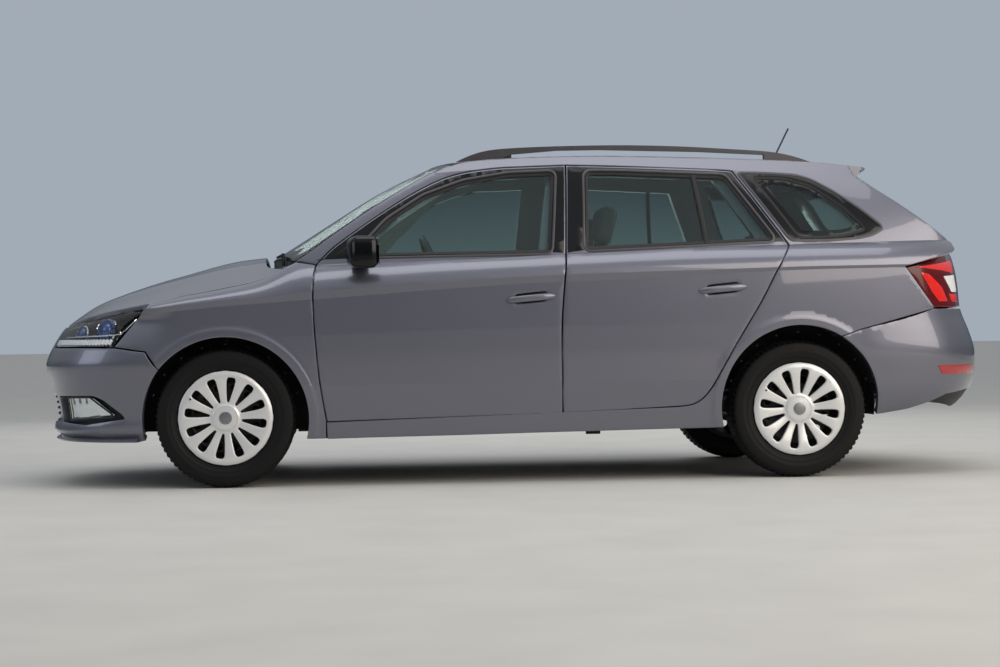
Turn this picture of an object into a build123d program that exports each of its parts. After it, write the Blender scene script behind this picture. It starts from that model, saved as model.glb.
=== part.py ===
"""Five-door estate car: body shell, doors, lids, wheels, steering, running gear and cabin.

Frame: +X forward, +Y to the car's left, +Z up, origin on the ground under the middle of the box.
All sizes are millimetres. Places along the car are given as s, the distance behind the front
axle, because that is how a body drawing gives them; at(s) turns s into X.
"""
import math
import os

from build123d import *

# ---------------------------------------------------------------- driving dimensions
WHEELBASE = 2470.0
FRONT_OVERHANG = 836.0
REAR_OVERHANG = 948.0
HALF_WIDTH = 866.0            # over the door creases, without the mirrors
TRACK_FRONT = 1463.0
TRACK_REAR = 1457.0

TYRE_RADIUS = 297.0           # 185/60 R15
TYRE_WIDTH = 185.0
RIM_RADIUS = 200.0            # over the rim flange
FRONT_ARCH_RADIUS = 352.0
REAR_ARCH_RADIUS = 346.0
FRONT_ARCH_Z = 288.0
REAR_ARCH_Z = 314.0
LINER_THICKNESS = 5.0
LINER_REACH = 17.0            # outside of a wheel housing beyond its arch edge

SHUT_GAP = 5.0                # between neighbouring panels
HINGE_GAP = 7.0               # at an edge that swings beside its hinge
SEAT_GAP = 0.3                # between a piece and the neighbour that carries it

DOOR_THICKNESS = 100.0        # below the belt line
FRAME_THICKNESS = 42.0        # window frames above it
PILLAR_DEPTH = 60.0           # pillar behind the doors
POCKET_GAP = 7.0              # between a door's inner face and the pillar
WING_THICKNESS = 4.0
FLANGE_THICKNESS = 4.0        # door skin that laps over the next door's hinges
GLASS_THICKNESS = 5.0
GLASS_INSET = 7.0
ROOF_THICKNESS = 30.0
BONNET_THICKNESS = 20.0
BUMPER_THICKNESS = 35.0
CORNER_THICKNESS = 40.0        # rear bumper's ends, beside the wheel arches
TAILGATE_THICKNESS = 55.0

HINGE_INSET = 19.0            # door hinge axis below the widest part of the skin
HINGE_LEAD = 84.0             # door hinge axis ahead of the door's front edge
KNUCKLE_RADIUS = 7.0
KNUCKLE_HEIGHT = 26.0
LEAF_THICKNESS = 6.0

KINGPIN_LOW = (662.0, 204.0)  # y and z of the ball joint on the lower arm, left side
KINGPIN_TOP = (565.0, 790.0)  # y and z of the strut's top mount
KNUCKLE_FOOT_RADIUS = 13.0
STRUT_RADIUS = 22.0
STRUT_ROD_RADIUS = 11.0
SHAFT_END_Y = 600.0           # outer end of a half shaft, clear of the steered knuckle
KNUCKLE_FACE_Y = 668.0        # knuckle's outer face, where the wheel hub runs

FRONT_DOOR_S = 384.0          # front edge of the front door at its waist
DOOR_SPLIT_S = 1433.0         # shut line between the doors, below the waist
TAILGATE_SHUT_S = 2700.0      # shut line between roof and tailgate
TAILGATE_HALF = 590.0         # half width of the tailgate

LENGTH = FRONT_OVERHANG + WHEELBASE + REAR_OVERHANG
FRONT_AXLE_X = LENGTH / 2 - FRONT_OVERHANG
FAR = 1200.0                  # beyond the side of the car


def at(s):
    """X of a place that lies s behind the front axle."""
    return FRONT_AXLE_X - s


# ---------------------------------------------------------------- helpers
def save(node, *solids):
    """Write one node as STEP."""
    shape = Compound(children=list(solids)) if len(solids) > 1 else solids[0]
    export_step(shape, f"parts/{node}.step")


def both(solid):
    """A left-hand solid and its mirror image on the right."""
    return [solid, solid.mirror(Plane.XZ)]


def box(s0, s1, y0, y1, z0, z1):
    """A block between two stations, two widths and two heights."""
    centre = Vector((at(s0) + at(s1)) / 2, (y0 + y1) / 2, (z0 + z1) / 2)
    return Pos(centre) * Box(abs(s1 - s0), abs(y1 - y0), abs(z1 - z0))


def rod(start, end, radius):
    """A round bar between two points."""
    a, b = Vector(*start), Vector(*end)
    return Solid.make_cylinder(radius, (b - a).length, Plane(origin=a, z_dir=b - a))


def edges_through(points, straight=True):
    """One edge: a line through two points or a spline through more."""
    vectors = [Vector(*p) for p in points]
    if len(vectors) == 2:
        return Edge.make_line(*vectors)
    return Edge.make_spline(vectors)


def side_prism(segments, y0=-FAR, y1=FAR):
    """A side-view outline in (s, z), pushed through the car from y0 to y1.

    Each segment is a list of points: two make a line, more make a spline."""
    edges = [edges_through([(at(s), y0, z) for s, z in seg]) for seg in segments]
    return Solid.extrude(Face(Wire(edges)), Vector(0, y1 - y0, 0))


def side_polygon(points, y0=-FAR, y1=FAR):
    """A straight-edged side-view outline pushed through the car."""
    face = Face(Wire.make_polygon([Vector(at(s), y0, z) for s, z in points]))
    return Solid.extrude(face, Vector(0, y1 - y0, 0))


def plan_polygon(points, z0, z1):
    """A straight-edged plan outline in (s, y), from height z0 to z1."""
    face = Face(Wire.make_polygon([Vector(at(s), y, z0) for s, y in points]))
    return Solid.extrude(face, Vector(0, 0, z1 - z0))


def rear_polygon(points, s0, s1):
    """A straight-edged outline in (y, z), from station s0 to s1."""
    face = Face(Wire.make_polygon([Vector(at(s0), y, z) for y, z in points]))
    return Solid.extrude(face, Vector(at(s1) - at(s0), 0, 0))


def disc_y(s, z, radius, y0, y1):
    """A cylinder across the car."""
    return rod((at(s), y0, z), (at(s), y1, z), radius)


def largest(shape):
    """The biggest solid of a cut, which drops slivers."""
    return max(shape.solids(), key=lambda solid: solid.volume)


# ---------------------------------------------------------------- body side
# Stations of the body side: s, half width less HALF_WIDTH, sill z, crease low z, crease top z,
# belt z, belt y, door frame top z, door frame top y, roof edge z, roof edge y.
SIDE_STATIONS = [
    (240, -5, 200, 786, 817, 938, 715, 1300, 575, 1330, 545),
    (420, -4, 201, 797, 832, 946, 752, 1310, 594, 1340, 562),
    (800, -1, 206, 824, 853, 957, 783, 1335, 622, 1366, 584),
    (1000, 0, 208, 836, 866, 963, 790, 1352, 630, 1392, 590),
    (1250, 0, 212, 851, 880, 971, 794, 1366, 638, 1411, 597),
    (1600, 0, 216, 862, 892, 985, 795, 1368, 641, 1417, 600),
    (2000, 0, 221, 878, 901, 1000, 792, 1356, 640, 1409, 598),
    (2470, -2, 226, 898, 912, 1012, 780, 1338, 626, 1392, 588),
    (2800, -13, 232, 903, 916, 1020, 760, 1318, 606, 1370, 574),
    (2950, -33, 236, 905, 918, 1024, 738, 1308, 592, 1358, 562),
    (3080, -67, 240, 906, 919, 1027, 705, 1300, 572, 1348, 545),
    (3180, -122, 244, 907, 920, 1029, 655, 1294, 545, 1340, 522),
]
LOWER_CREASE_Z = 430.0
SILL_TUCK = 42.0


def side_section(station, outer, lower_inner, upper_inner):
    """Closed section of the body side between two offsets from the skin."""
    s, dw, sill, low, top, belt, belt_y, frame, frame_y, roof, roof_y = station
    w = HALF_WIDTH + dw
    out = [(w - SILL_TUCK, sill), (w - 8, LOWER_CREASE_Z), (w - 4, low), (w, top),
           (belt_y, belt), (frame_y, frame), (roof_y, roof)]
    out = [Vector(at(s), y - outer, z) for y, z in out]
    ledge = belt - 25
    inner = [(roof_y - upper_inner, roof), (frame_y - upper_inner, frame),
             (belt_y - upper_inner, belt - 5), (belt_y - upper_inner, ledge),
             (w - lower_inner, ledge - 6), (w - lower_inner, sill)]
    inner = [Vector(at(s), y, z) for y, z in inner]
    door_bow = Vector(at(s), w - outer + 2, (LOWER_CREASE_Z + low) / 2)
    shoulder = Vector(at(s), w - outer - 6, top + 0.62 * (belt - top))
    glass_bow = Vector(at(s), (belt_y + frame_y) / 2 + 18 - outer, (belt + frame) / 2 + 12)
    edges = [
        Edge.make_line(out[0], out[1]),
        Edge.make_bezier(out[1], door_bow, out[2]),
        Edge.make_line(out[2], out[3]),
        Edge.make_bezier(out[3], shoulder, out[4]),
        Edge.make_bezier(out[4], glass_bow, out[5]),
        Edge.make_line(out[5], out[6]),
    ]
    loop = [out[6], *inner, out[0]]
    edges += [Edge.make_line(a, b) for a, b in zip(loop, loop[1:])]
    return Wire(edges)


def side_shell(outer, lower_inner, upper_inner):
    """Loft of the left body side between two offsets from the skin."""
    return Solid.make_loft([side_section(row, outer, lower_inner, upper_inner)
                            for row in SIDE_STATIONS])


# Side-view outlines of the doors, corner by corner.
FRONT_DOOR = [
    [(393, 944), (384, 907), (378, 800), (384, 650), (402, 452), (431, 277)],
    [(431, 277), (DOOR_SPLIT_S, 297)],
    [(DOOR_SPLIT_S, 297), (DOOR_SPLIT_S - 2, 654), (DOOR_SPLIT_S + 12, 850), (1458, 973)],
    [(1458, 973), (1480, 1372)],
    [(1480, 1372), (1322, 1367), (1154, 1359), (985, 1330), (836, 1265), (662, 1158),
     (474, 1024), (393, 944)],
]
REAR_DOOR = [
    [(1458 + HINGE_GAP, 973), (DOOR_SPLIT_S + 12 + HINGE_GAP, 850),
     (DOOR_SPLIT_S - 2 + HINGE_GAP, 654), (DOOR_SPLIT_S + HINGE_GAP, 297)],
    [(DOOR_SPLIT_S + HINGE_GAP, 297), (1942, 318)],
    [(1942, 318), (2009, 331), (2068, 382), (2142, 508), (2223, 643), (2299, 767),
     (2374, 907), (2437, 1010)],
    [(2437, 1010), (2222, 1338)],
    [(2222, 1338), (2160, 1347), (1700, 1366), (1480 + HINGE_GAP, 1372)],
    [(1480 + HINGE_GAP, 1372), (1458 + HINGE_GAP, 973)],
]
# Outline of the side frame: A-pillar, roof edge, D-pillar, tail lamp, bumper line and sill.
SIDE_OUTLINE = [
    [(291, 190), (291, 925)],
    [(291, 925), (304, 961)],
    [(304, 961), (568, 1146), (838, 1315), (988, 1384), (1100, 1420)],
    [(1100, 1420), (1250, 1450)],
    [(1250, 1450), (2776, 1450)],
    [(2776, 1450), (2776, 1330)],
    [(2776, 1330), (2861, 1266), (2954, 1202), (3095, 1100), (3232, 998)],
    [(3232, 998), (3226, 989)],
    [(3226, 989), (2941, 912)],
    [(2941, 912), (3080, 728)],
    [(3080, 728), (2737, 641)],
    [(2737, 641), (2600, 600)],
    [(2600, 600), (2600, 190)],
    [(2600, 190), (291, 190)],
]
BEHIND_WING = [(200, 150), (430, 150), (430, 277), (402, 452), (384, 650), (380, 800), (392, 930),
               (402, 952), (300, 962), (200, 962)]
# Window openings in the doors and the quarter panel.
FRONT_WINDOW = [(560, 985), (1392, 992), (1425, 1338), (1230, 1331), (1030, 1298), (860, 1236),
                (700, 1132)]
REAR_WINDOW = [(1555, 1003), (2370, 1036), (2180, 1318), (1700, 1337), (1572, 1338)]
QUARTER_WINDOW = [(2490, 1040), (2690, 1046), (2800, 1078), (2705, 1180), (2570, 1278),
                  (2455, 1312), (2310, 1315)]
# Openings through the pillars and sills behind the doors.
FRONT_APERTURE = [(490, 330), (1345, 345), (1345, 940), (1400, 1320), (1150, 1310), (960, 1262),
                  (760, 1135), (520, 960)]
REAR_APERTURE = [(1520, 350), (1900, 365), (2010, 470), (2140, 690), (2330, 1010),
                 (2140, 1300), (1700, 1320), (1560, 1322), (1520, 950)]


def widen(segments, shifts):
    """Moves each segment of an outline by (ds, dz) and links the ends with short lines."""
    moved = [[(s + ds, z + dz) for s, z in seg] for seg, (ds, dz) in zip(segments, shifts)]
    result = []
    for seg, following in zip(moved, moved[1:] + moved[:1]):
        result.append(seg)
        if math.dist(seg[-1], following[0]) > 0.01:
            result.append([seg[-1], following[0]])
    return result


# The opening that both doors close, wider than the doors by the shut lines.
DOORWAY = widen(
    [FRONT_DOOR[0], FRONT_DOOR[1], REAR_DOOR[1], REAR_DOOR[2], REAR_DOOR[3], REAR_DOOR[4],
     FRONT_DOOR[4]],
    [(-HINGE_GAP, 0), (0, -SHUT_GAP), (0, -SHUT_GAP), (SHUT_GAP, -2), (SHUT_GAP, 2),
     (0, SHUT_GAP), (-2, SHUT_GAP)])


def door_solid(outline, window, shell):
    """A whole door: skin to trim, with its window cut."""
    door = largest(shell & side_prism(outline, 300))
    return largest(door - side_polygon(window, 300))


# ---------------------------------------------------------------- door hinges
def knuckle_leaf(path, x, y, z):
    """A hinge knuckle on a vertical axis with its bent leaf; path runs from the axis."""
    points = [(x + dx, y + dy) for dx, dy in path]
    leaf = extrude(Pos(0, 0, z) * trace(Polyline(*points), LEAF_THICKNESS), KNUCKLE_HEIGHT)
    return (Pos(x, y, z + KNUCKLE_HEIGHT / 2) * Cylinder(KNUCKLE_RADIUS, KNUCKLE_HEIGHT)) + leaf


def door_hinges(axis_s, axis_y, heights, door, frame, door_edge):
    """Adds two hinges: straight leaves on the frame and cranked leaves on the door."""
    pillar_reach = axis_y - (HALF_WIDTH - DOOR_THICKNESS - POCKET_GAP - 12)
    crank = [(0, 0), (-14, -62), (-door_edge - 8, -80)]
    for z in heights:
        frame += knuckle_leaf([(0, 0), (-10, -pillar_reach)], at(axis_s), axis_y, z)
        door += knuckle_leaf(crank, at(axis_s), axis_y, z + KNUCKLE_HEIGHT + SEAT_GAP)
    return door, frame


def make_doors():
    """Both left doors with their hinges and the side frame that carries them."""
    door_shell = side_shell(0, DOOR_THICKNESS, FRAME_THICKNESS)
    frame = side_shell(0, DOOR_THICKNESS + PILLAR_DEPTH, FRAME_THICKNESS + PILLAR_DEPTH)
    pocket = side_shell(-40, DOOR_THICKNESS + POCKET_GAP, FRAME_THICKNESS + POCKET_GAP)
    flange = side_shell(FLANGE_THICKNESS, DOOR_THICKNESS + 20, FRAME_THICKNESS + 20)

    frame &= side_prism(SIDE_OUTLINE)
    frame -= pocket & side_prism(DOORWAY)
    frame -= pocket & side_polygon(BEHIND_WING)
    for opening in (FRONT_APERTURE, REAR_APERTURE, QUARTER_WINDOW):
        frame -= side_polygon(opening, 300)
    frame -= disc_y(WHEELBASE, REAR_ARCH_Z, REAR_ARCH_RADIUS, 300, FAR)
    frame -= disc_y(0, FRONT_ARCH_Z, FRONT_ARCH_RADIUS + LINER_REACH, 300, FAR)
    frame -= box(TAILGATE_SHUT_S - 40, LENGTH, 0, TAILGATE_HALF + SHUT_GAP, 700, 1500)
    frame = largest(frame)

    front = door_solid(FRONT_DOOR, FRONT_WINDOW, door_shell)
    front -= flange & side_polygon([(1300, 260), (1445, 260), (1478, 968), (1300, 955)])
    front = largest(front)
    rear = door_solid(REAR_DOOR, REAR_WINDOW, door_shell)
    hinge_y = HALF_WIDTH - HINGE_INSET
    front, frame = door_hinges(FRONT_DOOR_S - HINGE_LEAD, hinge_y - 8, (530, 740), front, frame,
                               HINGE_LEAD)
    rear, frame = door_hinges(DOOR_SPLIT_S + HINGE_GAP - HINGE_LEAD, hinge_y, (440, 700), rear,
                              frame, HINGE_LEAD)
    return front, rear, frame


def flush_glass(window):
    """A pane that fills a side window, a little below the skin."""
    pane = side_shell(GLASS_INSET, 120, GLASS_INSET + GLASS_THICKNESS)
    return largest(pane & side_polygon(window, 300))


# ---------------------------------------------------------------- front wing
# Stations: s, half width less HALF_WIDTH, crease low z, crease top z, top edge z, top edge y.
WING_STATIONS = [
    (-480, -68, 700, 722, 748, 722),
    (-340, -30, 735, 757, 784, 734),
    (-200, -18, 752, 776, 815, 739),
    (0, -8, 770, 796, 851, 741),
    (150, -6, 780, 807, 886, 739),
    (300, -5, 790, 822, 956, 730),
    (420, -4, 797, 832, 966, 745),
]
WING_OUTLINE = [(-262, 180), (-262, 500), (-330, 585), (-463, 602), (-333, 757), (-333, 800),
                (100, 1000), (300, 1000), (300, 963), (386, 944), (377, 907), (371, 800),
                (377, 650), (395, 452), (423, 277), (423, 180)]


def wing_section(station, offset):
    """Closed section of the front wing's skin, offset inward for the inner line."""
    s, dw, low, top, edge, edge_y = station
    w = HALF_WIDTH + dw - offset
    edge_y -= offset
    sill = [(w - SILL_TUCK, 200), (w - 8, LOWER_CREASE_Z), (w - 4, low), (w, top)]
    points = [Vector(at(s), y, z) for y, z in sill]
    bow = Vector(at(s), w + 2, (LOWER_CREASE_Z + low) / 2)
    roll = Vector(at(s), w - 8, top + 0.72 * (edge - top))
    return [
        Edge.make_line(points[0], points[1]),
        Edge.make_bezier(points[1], bow, points[2]),
        Edge.make_line(points[2], points[3]),
        Edge.make_bezier(points[3], roll, Vector(at(s), edge_y, edge)),
    ]


def make_wing():
    """Left front wing: a thin skin round its arch."""
    wires = []
    for station in WING_STATIONS:
        skin = wing_section(station, 0)
        back = wing_section(station, WING_THICKNESS)
        ends = [Edge.make_line(skin[-1] @ 1, back[-1] @ 1), Edge.make_line(back[0] @ 0, skin[0] @ 0)]
        wires.append(Wire(skin + back + ends))
    wing = Solid.make_loft(wires) & side_polygon(WING_OUTLINE, 300)
    return largest(wing - disc_y(0, FRONT_ARCH_Z, FRONT_ARCH_RADIUS, 300, FAR))


# ---------------------------------------------------------------- roof, screen and bonnet
# Stations: s, centre z, edge z, edge y.
ROOF_STATIONS = [
    (880, 1402, 1377, 585), (1000, 1417, 1392, 590), (1250, 1438, 1411, 597), (1600, 1449, 1417, 600),
    (2000, 1444, 1409, 598), (2470, 1426, 1392, 588), (2700, 1411, 1377, 580), (2860, 1395, 1364, 570),
]
BONNET_STATIONS = [
    (-735, 704, 640, 560), (-680, 742, 682, 600), (-600, 796, 722, 640), (-500, 838, 752, 690),
    (-340, 892, 784, 728), (-200, 931, 815, 732), (0, 984, 851, 734), (150, 1004, 885, 733),
    (300, 1014, 956, 724),
]
# Front edge of the bonnet in plan (s, y), then the line over the headlamp and the rear corner.
BONNET_PLAN = [(-727, 0), (-722, 220), (-700, 430), (-640, 545), (-560, 640), (-450, 700),
               (-335, 729)]
BONNET_REAR = [(262, 726), (215, 640), (172, 500), (162, 300), (160, 0)]
HEADER_PLAN = [(988, 600), (955, 400), (912, 180), (902, 0)]


def crown_section(s, centre_z, edge_z, edge_y, thickness, spread=0.0):
    """A crowned slab's section: an arc over the car and the same arc below it.

    The arc can be carried on past its edges by the spread."""
    wide = edge_y + spread
    edge_z = centre_z - (centre_z - edge_z) * (wide / edge_y) ** 2
    edge_y = wide

    def arc(drop):
        return Edge.make_three_point_arc(Vector(at(s), edge_y, edge_z - drop),
                                         Vector(at(s), 0, centre_z - drop),
                                         Vector(at(s), -edge_y, edge_z - drop))
    top, under = arc(0), arc(thickness)
    return Wire([top, under, Edge.make_line(top @ 0, under @ 0), Edge.make_line(top @ 1, under @ 1)])


def crown_shell(stations, thickness, lift=0.0, spread=0.0):
    """Loft of a crowned slab along the car."""
    return Solid.make_loft([crown_section(s, zc + lift, ze + lift, ye, thickness, spread)
                            for s, zc, ze, ye in stations])


def plan_both(points, z0, z1):
    """A plan outline given for the left half, closed by its mirror image."""
    mirrored = [(s, -y) for s, y in reversed(points) if y > 0]
    return plan_polygon(points + mirrored, z0, z1)


HEADER_SLOPE = 30.0           # tilt of the shut face between roof and tailgate, degrees


def slanted_block(s, z, before):
    """Everything before or behind a tilted plane across the car at (s, z)."""
    lean = math.tan(math.radians(HEADER_SLOPE))
    reach = -4000 if before else 4000
    top, bottom = (s - 300 * lean, z + 300), (s + 300 * lean, z - 300)
    points = [top, bottom, (bottom[0] + reach, bottom[1]), (top[0] + reach, top[1])]
    return side_polygon(points)


def make_roof():
    """Roof with its header behind the windscreen and pockets for the tailgate hinges."""
    roof = crown_shell(ROOF_STATIONS, ROOF_THICKNESS)
    header = [(2000, 650), (1005, 650)] + [(s + SHUT_GAP, y) for s, y in HEADER_PLAN]
    header += [(s + SHUT_GAP, -y) for s, y in reversed(HEADER_PLAN[:-1])]
    header += [(1005, -650), (2000, -650)]
    rear = [(1990, 650), (1990, -650), (2900, -650), (2900, 650)]
    roof &= plan_polygon(header, 1000, 1600) + plan_polygon(rear, 1000, 1600)
    roof &= slanted_block(TAILGATE_SHUT_S - HINGE_GAP, 1411, True)
    under = crown_shell(ROOF_STATIONS, ROOF_THICKNESS + 20, -LID_SKIN)
    for y in TAILGATE_HINGES:
        roof -= under & box(TAILGATE_SHUT_S - 120, TAILGATE_SHUT_S + 60, y - 35, y + 35, 1300, 1500)
    return largest(roof)


SCREEN_STATIONS = [
    (180, 983, 883, 706), (306, 1063, 964, 686), (560, 1224, 1127, 653), (655, 1281, 1188, 640),
    (898, 1400, 1331, 598), (1000, 1449, 1391, 580),
]
SCREEN_THICKNESS = 7.0        # measured vertically
SCREEN_BASE = [(188, 0), (215, 300), (262, 520), (312, 720)]


def make_windscreen():
    """Curved windscreen between cowl, pillars and roof header."""
    screen = crown_shell(SCREEN_STATIONS, SCREEN_THICKNESS)
    return screen & plan_both(SCREEN_BASE + HEADER_PLAN, 900, 1500)


LID_GAP = 8.0                 # round the bonnet
LID_SKIN = 6.0                # skin left over a hinge pocket
TAILGATE_HINGES = (-380, 380)
BONNET_HINGES = (-600, 600)
BONNET_AXIS = (285, 925)      # s and z of the bonnet's hinge axis


def bonnet_space():
    """The room the bonnet takes up, with its shut lines."""
    front = [(s - LID_GAP, y + (LID_GAP if y else 0)) for s, y in BONNET_PLAN]
    rear = [(s + LID_GAP, y + (LID_GAP if y else 0)) for s, y in BONNET_REAR]
    plan = plan_both(list(reversed(rear)) + list(reversed(front)), 500, 1200)
    return crown_shell(BONNET_STATIONS, BONNET_THICKNESS + LID_GAP + 80, 80, 10) & plan


def make_bonnet():
    """Bonnet skin with its inner panel."""
    bonnet = crown_shell(BONNET_STATIONS, BONNET_THICKNESS)
    return largest(bonnet & plan_both(list(reversed(BONNET_REAR)) + list(reversed(BONNET_PLAN)),
                                      500, 1100))


# ---------------------------------------------------------------- nose and tail
# Levels of the nose: z, s at the centre, width factor.
NOSE_LEVELS = [
    (205, -752, 0.930), (240, -803, 0.955), (300, -790, 0.965), (434, -812, 0.985),
    (518, -836, 1.000), (575, -820, 1.000), (640, -790, 0.995), (705, -735, 0.985),
    (775, -610, 0.970),
]
# Levels of the tail: z, s at the centre, width factor.
TAIL_LEVELS = [
    (262, 3290, 0.940), (300, 3345, 0.955), (365, 3392, 0.975), (430, 3414, 0.985),
    (535, 3415.2, 1.000), (620, 3392, 1.000), (724, 3352, 0.998), (833, 3340, 0.996),
    (918, 3326, 0.990), (990, 3305, 0.930), (1040, 3237, 0.892), (1100, 3156, 0.862),
    (1166, 3069, 0.835), (1230, 2983, 0.808), (1316, 2872, 0.772), (1385, 2790, 0.745),
]


def end_loft(levels, thickness, sign):
    """Wrap-round shell of the nose (sign -1) or tail (sign +1), lofted upward."""
    wires = []
    for z, s, k in levels:
        def curve(t):
            points = [(s - sign * t, 0), (s - sign * t, 470 * k - t / 3),
                      (s - sign * (90 + t), 815 * k - t), (s - sign * 580, 852 * k - t)]
            left = Edge.make_bezier(*[Vector(at(a), b, z) for a, b in points])
            right = Edge.make_bezier(*[Vector(at(a), -b, z) for a, b in points])
            return left, right
        (out_l, out_r), (in_l, in_r) = curve(0), curve(thickness)
        wires.append(Wire([out_l, Edge.make_line(out_l @ 1, in_l @ 1), in_l, in_r,
                           Edge.make_line(in_r @ 1, out_r @ 1), out_r]))
    return Solid.make_loft(wires)


LOWER_GRILLE = [(-420, 275), (-470, 335), (-455, 395), (455, 395), (470, 335), (420, 275)]
UPPER_GRILLE = [(-395, 615), (-380, 690), (380, 690), (395, 615), (330, 590), (-330, 590)]
HEADLAMP = [(-850, 612), (-463, 608), (-336, 755), (-420, 760), (-540, 744), (-610, 716), (-850, 690)]
BUMPER_OUTLINE = [(-900, 190), (-256, 190), (-256, 480), (-334, 577), (-462, 596), (-900, 600)]
BUMPER_BRIDGE = [(-900, 600), (-700, 600), (-700, 707), (-900, 707)]


def make_nose():
    """Front bumper, its two grilles and the headlamps."""
    skin = end_loft(NOSE_LEVELS, BUMPER_THICKNESS, -1)
    bumper = skin & side_polygon(BUMPER_OUTLINE)
    bumper += skin & side_polygon(BUMPER_BRIDGE) & box(-900, -600, -425, 425, 500, 800)
    bumper -= disc_y(0, FRONT_ARCH_Z, FRONT_ARCH_RADIUS + 4, -FAR, FAR)
    for opening in (LOWER_GRILLE, UPPER_GRILLE):
        bumper -= rear_polygon(opening, -900, -600)
    backing = end_loft(NOSE_LEVELS, BUMPER_THICKNESS + 15, -1)
    backing -= end_loft(NOSE_LEVELS, 12, -1)
    grilles = [largest(backing & rear_polygon(opening, -900, -600))
               for opening in (LOWER_GRILLE, UPPER_GRILLE)]
    lamp = end_loft(NOSE_LEVELS, 120, -1) & side_polygon(HEADLAMP, 300)
    lamp &= box(-900, -300, 432, 900, 500, 800)
    space = bonnet_space()
    grilles = [largest(grille - space) for grille in grilles]
    return largest(bumper - space), grilles, largest(lamp - space)


TAIL_LAMP = [(2944, 906), (3083, 728), (3500, 730), (3500, 1010), (3226, 984)]
REAR_BUMPER_OUTLINE = [(2600, 230), (2600, 597), (2737, 636), (3080, 722), (3500, 722), (3500, 230)]
BUMPER_CORNER = [(2600, 262), (2600, 597), (2737, 636), (2846, 663), (2846, 262)]
TAILGATE_REAR = [(0, 735), (585, 735), (585, 990), (568, 1100), (555, 1360), (550, 1450)]
REAR_GLASS = [(0, 1010), (515, 1010), (505, 1150), (478, 1300), (0, 1318)]
GATE_SIDE = [(2600, 1480), (2600, 1390), (2740, 1330), (2765, 1290), (3005, 1110), (3135, 1000),
             (3165, 735), (3600, 735), (3600, 1480)]
SPOILER = [(2730, 1402), (2800, 1400), (2915, 1385), (2922, 1374), (2880, 1345), (2800, 1335),
           (2760, 1360)]
SPOILER_PLAN = [(2700, 0), (2700, 535), (2760, 535), (2800, 480), (2862, 330), (2894, 150),
                (2898, 0)]


def make_tail():
    """Rear bumper, tailgate, its glass and the tail lamps."""
    skin = end_loft(TAIL_LEVELS, BUMPER_THICKNESS, 1)
    bumper = skin & side_polygon(REAR_BUMPER_OUTLINE)
    corner = side_shell(0, CORNER_THICKNESS, CORNER_THICKNESS) & side_polygon(BUMPER_CORNER)
    bumper += corner
    bumper += corner.mirror(Plane.XZ)
    bumper -= disc_y(WHEELBASE, REAR_ARCH_Z, REAR_ARCH_RADIUS + 4, -FAR, FAR)
    lamp = end_loft(TAIL_LEVELS, 110, 1) & side_polygon(TAIL_LAMP, 300)
    lamp &= box(2800, 3500, TAILGATE_HALF + SHUT_GAP + 1, 950, 500, 1100)

    outline = rear_polygon(TAILGATE_REAR + [(-y, z) for y, z in reversed(TAILGATE_REAR) if y > 0],
                           2500, 3600)
    gate = end_loft(TAIL_LEVELS, TAILGATE_THICKNESS, 1) & outline & side_polygon(GATE_SIDE)
    gate -= slanted_block(TAILGATE_SHUT_S, 1411, True)
    top = crown_shell(ROOF_STATIONS, ROOF_THICKNESS) & outline
    top &= slanted_block(TAILGATE_SHUT_S, 1411, False)
    gate = gate + top
    gate += side_polygon(SPOILER) & plan_both(SPOILER_PLAN, 1300, 1450)
    glass_outline = REAR_GLASS + [(-y, z) for y, z in reversed(REAR_GLASS) if y > 0]
    gate -= rear_polygon(glass_outline, 2500, 3600)
    inset = end_loft(TAIL_LEVELS, 8 + GLASS_THICKNESS, 1) - end_loft(TAIL_LEVELS, 8, 1)
    glass = inset & rear_polygon(glass_outline, 2600, 3600)
    return largest(bumper), largest(gate), largest(glass), largest(lamp)


# ---------------------------------------------------------------- wheels
DISC_RADIUS = 128.0
DRUM_RADIUS = 115.0
COVER_RADIUS = 207.0
RIM_WIDTH = 165.0


def turned(points, s, y, z, side):
    """Revolves a closed outline of (radius, distance outboard) about the wheel's axle."""
    face = Face(Wire.make_polygon([Vector(r, side * d, 0) for r, d in points]))
    return Pos(at(s), y, z) * Solid.revolve(face, 360, Axis.Y)


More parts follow.
